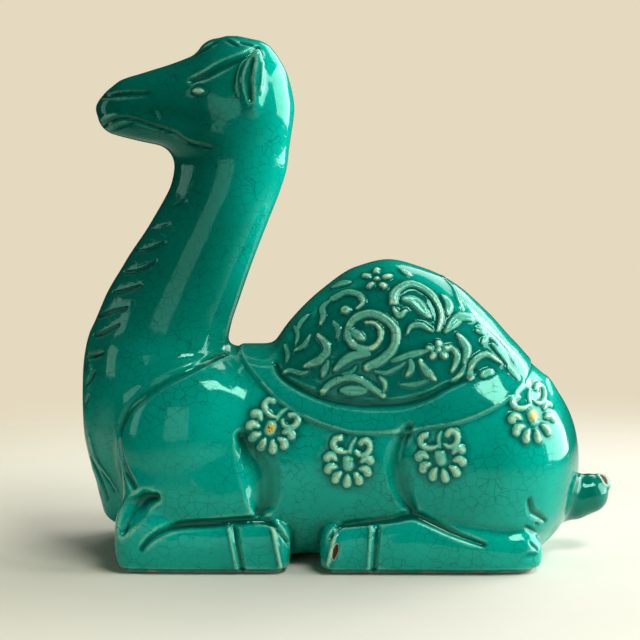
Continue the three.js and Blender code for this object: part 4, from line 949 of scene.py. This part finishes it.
def clay_material(look, specks):
    """Unglazed foot: pinkish clay with wear and dirt."""
    material, tree, shader = new_material("bare_clay")
    place = add(tree, "ShaderNodeTexCoord").outputs["Object"]
    fine_specks = {"Place": place, "Specks per metre": 900, "Rarity": 0.2}
    spots = add(tree, "ShaderNodeGroup", fine_specks, node_tree=specks).outputs
    soil = map_range(tree, spots["Blotches"], 0.45, 0.75)
    colour = mix_colour(tree, soil, (*look.clay, 1), (*look.clay_soil, 1))
    colour = mix_colour(tree, spots["Specks"], colour, (*look.chip, 1))
    tree.links.new(colour, shader.inputs["Base Color"])
    shader.inputs["Roughness"].default_value = 0.85
    bump = add(tree, "ShaderNodeBump", {
        "Strength": 0.4, "Distance": 0.0004, "Height": noise(tree, place, 1400, 3).outputs["Fac"]})
    tree.links.new(bump.outputs["Normal"], shader.inputs["Normal"])
    return material


def number_property(name, description, default, **kind):
    return FloatProperty(name=name, description=description, default=default, **kind)


def colour_property(name, description, default):
    return FloatVectorProperty(name=name, description=description, subtype="COLOR", size=3, min=0, max=1,
                               default=default)


class CamelShape(PropertyGroup):
    """Sizes of the skin and its relief."""
    cell: number_property(
        "Cell", "Size of the faces of the skin before it is refined", 0.9 * MM, unit="LENGTH")
    faces: IntProperty(
        name="Faces", description="Triangles that the finished skin keeps", default=190000, min=20000)
    relief: number_property("Relief", "Height of the raised lines against their own", 1.0, subtype="FACTOR")
    spacing: number_property("Spacing", "Distance between the beads along a line", 0.25 * MM, unit="LENGTH")
    halo: number_property("Halo", "How far from a raised line glaze gathers", 2.2 * MM, unit="LENGTH")
    soften: number_property("Soften", "Distance over which relief is rounded off", 0.35 * MM, unit="LENGTH")
    fine: number_property(
        "Fine", "Reach of the small hollows that fill with glaze", 1.3 * MM, unit="LENGTH")
    wide: number_property(
        "Wide", "Reach of the large hollows that fill with glaze", 4.6 * MM, unit="LENGTH")


class CamelGlaze(PropertyGroup):
    """Colours and depth of the glaze."""
    thin: colour_property("Thin", "Glaze on sharp crests", (0.56, 0.74, 0.48))
    pale: colour_property("Pale", "Glaze on soft ridges", (0.20, 0.66, 0.48))
    body: colour_property("Body", "Glaze on open surfaces", (0.0, 0.38, 0.30))
    # Deep body is also the colour of the painted shade on the neck, head, outer rump and tail
    deep_glaze_and_shade: colour_property("Deep body", "Glaze in soft hollows", (0.0, 0.22, 0.15))
    # Ground is also mixed in for the painted shade on the neck, head, outer rump and tail
    ground: colour_property("Ground", "Glaze between the scrolls", (0.0, 0.12, 0.09))
    pool: colour_property("Pool", "Glaze pooled beside relief", (0.0, 0.075, 0.055))
    shade: colour_property("Shade", "Dark specks", (0.0, 0.03, 0.022))
    crack: colour_property("Cracks", "Lines of the crackle", (0.0, 0.07, 0.055))
    sheen: colour_property("Sheen", "Tint of the reflections", (0.4, 1.0, 0.85))
    amber: colour_property("Amber", "Iron yellow on two flower bosses", (0.72, 0.5, 0.06))
    clay: colour_property("Clay", "Unglazed body", (0.6, 0.44, 0.33))
    clay_soil: colour_property("Soiled clay", "Dirt on the unglazed foot", (0.3, 0.2, 0.13))
    chip: colour_property("Chip", "Dark bottom of a chip", (0.05, 0.032, 0.02))
    fine_pool: number_property("Fine pool", "Hollow beside relief that fills up", 0.35 * MM, unit="LENGTH")
    wide_pool: number_property("Wide pool", "Hollow between forms that fills up", 1.6 * MM, unit="LENGTH")
    ridge: number_property(
        "Ridge", "Sharpness at which the glaze runs off an edge", 0.35 * MM, unit="LENGTH")
    # Painted shade: how much darker the glaze is painted on the neck, head, outer rump and tail
    painted_shade: number_property(
        "Thick", "Extra depth of the glaze on the neck, head and outer rump", 0.75, subtype="FACTOR")
    gloss: number_property("Gloss", "Roughness of the glaze", 0.06, subtype="FACTOR")
    ripple: number_property("Ripple", "Unevenness of the gloss", 0.12, subtype="FACTOR")


class CamelStudio(PropertyGroup):
    """Floor, lights and camera."""
    distance: number_property("Distance", "From the camera to the plane of symmetry", 0.8, unit="LENGTH")
    elevation: number_property(
        "Elevation", "Angle of the camera above the floor", math.radians(7), subtype="ANGLE")
    view: number_property("View", "Angle that the picture spans", math.radians(21.0703), subtype="ANGLE")
    floor: colour_property("Floor", "Pale floor under the figure", (0.72, 0.71, 0.66))
    floor_weave: colour_property("Floor weave", "Darker patches of the floor", (0.66, 0.65, 0.60))
    # Painted light: a brighter floor colour towards the left, away from the window
    floor_painted_light: colour_property("Floor at left", "Brighter floor away from the window", (0.88, 0.87, 0.76))
    sky: colour_property("Backdrop", "Pale ground behind the figure", (0.78, 0.70, 0.52))
    key: number_property("Key", "Power of the window at the right", 38, unit="POWER")
    panel: number_property("Panel", "Power of each dim panel at the front and left", 1.0, unit="POWER")
    back: number_property("Back", "Power of the wide panel behind, at the right", 8, unit="POWER")
    top: number_property("Top", "Power of the soft light above", 9, unit="POWER")


PANEL_FADE = (-2, 3)
PANEL_FOOT = 70


class CAMEL_OT_body(Operator):
    """Models the glazed figure with its relief, creases, hair and chips"""
    bl_idname = "camel.body"
    bl_label = "Camel Body"

    def execute(self, context):
        shape, look = context.scene.camel_shape, context.scene.camel_glaze
        cell = shape.cell / MM * 1
        field, origin = sample_clay(cell)
        points, quads = mesh_clay(untangle(field), origin, cell)
        points = settle(points)
        mesh = bpy.data.meshes.new("camel_skin")
        mesh.from_pydata((points * MM).tolist(), [], quads.tolist())
        body = put_object("glazed_camel", mesh)
        smooth = body.modifiers.new("Round off", "SUBSURF")
        smooth.levels = smooth.render_levels = 1
        swap_mesh(body, plain_mesh(body, "camel_skin"))
        mesh = body.data
        x, _, z = vertex_places(mesh)
        cloth = cloth_height(x, z)
        panel = rise(depth_inside(np.array(PANEL_EDGE), x, z), *PANEL_FADE) * (z > PANEL_FOOT)
        panel = np.maximum(panel, CLOTH_TONE * cloth / CLOTH)
        store_values(mesh, "cloth", cloth * MM)
        store_values(mesh, "panel", panel)
        tree = relief_tree()
        guides = []
        for name, lines, near_only, softness, core in (
                ("raised", raised_lines(), False, 1.0, 1.0),
                ("cut", CREASES + FACE_CUTS + HAIR + HOCK_HAIR, False, 1.8, 0.0),
                ("chip", CHIPS, True, 1.0, 1.0)):
            guides.append(lay_lines(name + "_lines", lines, near_only))
            put_modifier(body, tree, {
                "Lines": guides[-1], "Spacing": shape.spacing, "Height": shape.relief, "Halo": shape.halo,
                "Softness": softness, "Core": core, "Mark": name, "Halo mark": name + "_halo"})
        specks = speck_group()
        glaze = glaze_material(look, crackle_group(), specks)

        def rounds(reach):
            return max(1, round((reach / MM) ** 2 / (0.4 * (cell / 2) ** 2)))

        put_modifier(body, glazed_skin_tree(), {
            "Relief rounds": rounds(shape.soften), "Skin rounds": rounds(shape.soften),
            "Fine rounds": rounds(shape.fine), "Wide rounds": rounds(shape.wide), "Glaze": glaze})
        swap_mesh(body, plain_mesh(body, "camel_skin"))
        for guide in guides:
            bpy.data.objects.remove(guide)
        thin = body.modifiers.new("Thin out", "DECIMATE")
        thin.ratio = min(1, shape.faces / (2 * len(body.data.polygons)))
        thin.use_collapse_triangulate = True
        swap_mesh(body, plain_mesh(body, "glazed_camel"))
        finish_skin(body, clay_material(look, specks))
        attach(body, "root")
        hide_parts("camel")
        return {"FINISHED"}


def vertex_places(mesh):
    return read_values(mesh.vertices, "co").T / MM


AMBER = [(-35.1, 65.9, 2.5), (81.9, 71.6, 2.6)]
INSIDE = 0.02 * MM
CLAY_LINE = 1.6


def finish_skin(body, clay):
    """Smooth facing from before the skin was thinned, the amber spots and the unglazed foot."""
    mesh = body.data
    facing = read_values(mesh.attributes["facing"].data, "vector", np.float32)
    low, high = (np.array(corner) for corner in CAD_BOX)
    kept_in = np.clip(read_values(mesh.vertices, "co"), low + (INSIDE, INSIDE, 0), high - INSIDE)
    mesh.vertices.foreach_set("co", kept_in.ravel())
    facing /= np.maximum(np.linalg.norm(facing, axis=1, keepdims=True), 1e-6)
    mesh.shade_smooth()
    mesh.normals_split_custom_set_from_vertices(facing.tolist())
    x, y, z = vertex_places(mesh)
    amber = np.zeros_like(x)
    for ax, az, reach in AMBER:
        away = np.hypot(x - ax, z - az)
        amber = np.maximum(amber, np.where(y < 0, 1 - rise(away, 0.5 * reach, reach), 0))
    store_values(mesh, "amber", amber)
    mesh.materials.append(clay)
    corners = read_values(mesh.loops, "vertex_index", np.int32, 1)
    unglazed = (z[corners].max(axis=1) < CLAY_LINE).astype(np.int32)
    mesh.polygons.foreach_set("material_index", unglazed)
    mesh.update()


CAMERA_AIM = (-0.0132915, 0, 0.1096098)
LIGHTS = [
    ("window_right", "key", (1.2, 0.2, 0.44), (0.02, 0, 0.12), (1.4, 1.05), (1, 0.98, 0.93)),
    ("soft_top", "top", (0.48, -0.5, 1.1), (0, 0, 0.05), (0.55, 0.34), (0.98, 1, 0.9)),
    ("panel_front", "panel", (-0.33, -1.15, 0.22), (-0.05, 0, 0.12), (0.5, 0.6), (1, 0.99, 0.93)),
    ("panel_left", "panel", (-1.1, -0.15, 0.3), (-0.05, 0, 0.12), (0.4, 0.5), (1, 0.99, 0.93)),
    ("panel_back", "back", (0.75, 1.0, 0.9), (0, 0, 0.12), (0.9, 0.9), (1, 0.99, 0.95)),
]


class CAMEL_OT_studio(Operator):
    """Sets the pale floor, the lights, the backdrop colour and the camera"""
    bl_idname = "camel.studio"
    bl_label = "Camel Studio"

    def execute(self, context):
        studio = context.scene.camel_studio
        floor_piece(studio)
        backdrop(context, studio)
        for name, power, place, target, size, colour in LIGHTS:
            area_light(name, place, target, size, getattr(studio, power), colour)
        camera = bpy.data.cameras.new("photo_camera")
        camera.sensor_fit = "HORIZONTAL"
        camera.angle = studio.view
        stand = put_object("photo_camera", camera)
        back = Vector((0, -math.cos(studio.elevation), math.sin(studio.elevation)))
        stand.location = Vector(CAMERA_AIM) + back * studio.distance
        stand.rotation_euler = (math.pi / 2 - studio.elevation, 0, 0)
        context.scene.camera = stand
        context.scene.view_settings.view_transform = "Standard"
        return {"FINISHED"}


# Painted light on the floor: where it brightens towards the left
PAINTED_LIGHT_FADE = (0.0, -0.2)
FLOOR_FADE = (0.19, 0.5)


def floor_piece(studio):
    """Wide pale disc, with painted light brightening its left side, that fades out into the backdrop."""
    shape = bmesh.new()
    bmesh.ops.create_circle(shape, cap_ends=True, radius=3, segments=96)
    mesh = bpy.data.meshes.new("floor")
    shape.to_mesh(mesh)
    shape.free()
    floor = put_object("floor", mesh)
    material, tree, shader = new_material("pale_floor")
    place = add(tree, "ShaderNodeTexCoord").outputs["Object"]
    weave = map_range(tree, noise(tree, place, 6, 3).outputs["Fac"], 0.35, 0.7)
    colour = mix_colour(tree, weave, (*studio.floor, 1), (*studio.floor_weave, 1))
    along = add(tree, "ShaderNodeSeparateXYZ", {0: place}).outputs[0]
    # Painted light: the floor colour is brightened towards the left, where the window's light falls off
    painted_light_share = map_range(tree, along, *PAINTED_LIGHT_FADE, kind="SMOOTHSTEP")
    colour = mix_colour(tree, painted_light_share, colour, (*studio.floor_painted_light, 1))
    tree.links.new(colour, shader.inputs["Base Color"])
    shader.inputs["Roughness"].default_value = 0.9
    shader.inputs["Specular IOR Level"].default_value = 0.1
    reach = vector_node(tree, "LENGTH", place, output="Value")
    tree.links.new(map_range(tree, reach, *FLOOR_FADE, 1.0, 0.0, "SMOOTHSTEP"), shader.inputs["Alpha"])
    mesh.materials.append(material)


def backdrop(context, studio):
    """Pale ground seen by the camera, and a dimmer room in the gloss."""
    world = bpy.data.worlds.new("studio")
    context.scene.world = world
    world.use_nodes = True
    tree = world.node_tree
    ground = tree.nodes["Background"]
    path = add(tree, "ShaderNodeLightPath")
    strength = math_node(tree, "MULTIPLY_ADD", path.outputs["Is Camera Ray"], 0.98, 0.02)
    strength = math_node(tree, "MULTIPLY_ADD", path.outputs["Is Diffuse Ray"], 0.03, strength)
    ground.inputs["Color"].default_value = (*studio.sky, 1)
    tree.links.new(strength, ground.inputs["Strength"])


def area_light(name, place, target, size, power, colour):
    light = bpy.data.lights.new(name, "AREA")
    light.shape = "RECTANGLE"
    light.size, light.size_y = size
    light.energy = power
    light.color = colour
    lamp = put_object(name, light)
    lamp.location = place
    lamp.rotation_euler = (Vector(target) - Vector(place)).to_track_quat("-Z", "Y").to_euler()


class CAMEL_PT_panel(Panel):
    """Lists the steps and their settings"""
    bl_idname = "CAMEL_PT_panel"
    bl_label = "Resting Camel"
    bl_space_type = "VIEW_3D"
    bl_region_type = "UI"
    bl_category = "Camel"

    def draw(self, context):
        scene = context.scene
        for settings, step in ((scene.camel_shape, CAMEL_OT_body), (scene.camel_glaze, None),
                               (scene.camel_studio, CAMEL_OT_studio)):
            box = self.layout.box()
            for name in settings.bl_rna.properties.keys():
                if name not in ("rna_type", "name"):
                    box.prop(settings, name)
            if step:
                box.operator(step.bl_idname)


CLASSES = (CamelShape, CamelGlaze, CamelStudio, CAMEL_OT_body, CAMEL_OT_studio, CAMEL_PT_panel)


def register():
    for item in CLASSES:
        bpy.utils.register_class(item)
    bpy.types.Scene.camel_shape = PointerProperty(type=CamelShape)
    bpy.types.Scene.camel_glaze = PointerProperty(type=CamelGlaze)
    bpy.types.Scene.camel_studio = PointerProperty(type=CamelStudio)


def unregister():
    for name in ("camel_shape", "camel_glaze", "camel_studio"):
        delattr(bpy.types.Scene, name)
    for item in reversed(CLASSES):
        bpy.utils.unregister_class(item)


def main():
    """Makes the pieces and the stage in order."""
    register()
    bpy.ops.camel.body()
    bpy.ops.camel.studio()


if __name__ == "__main__":
    main()
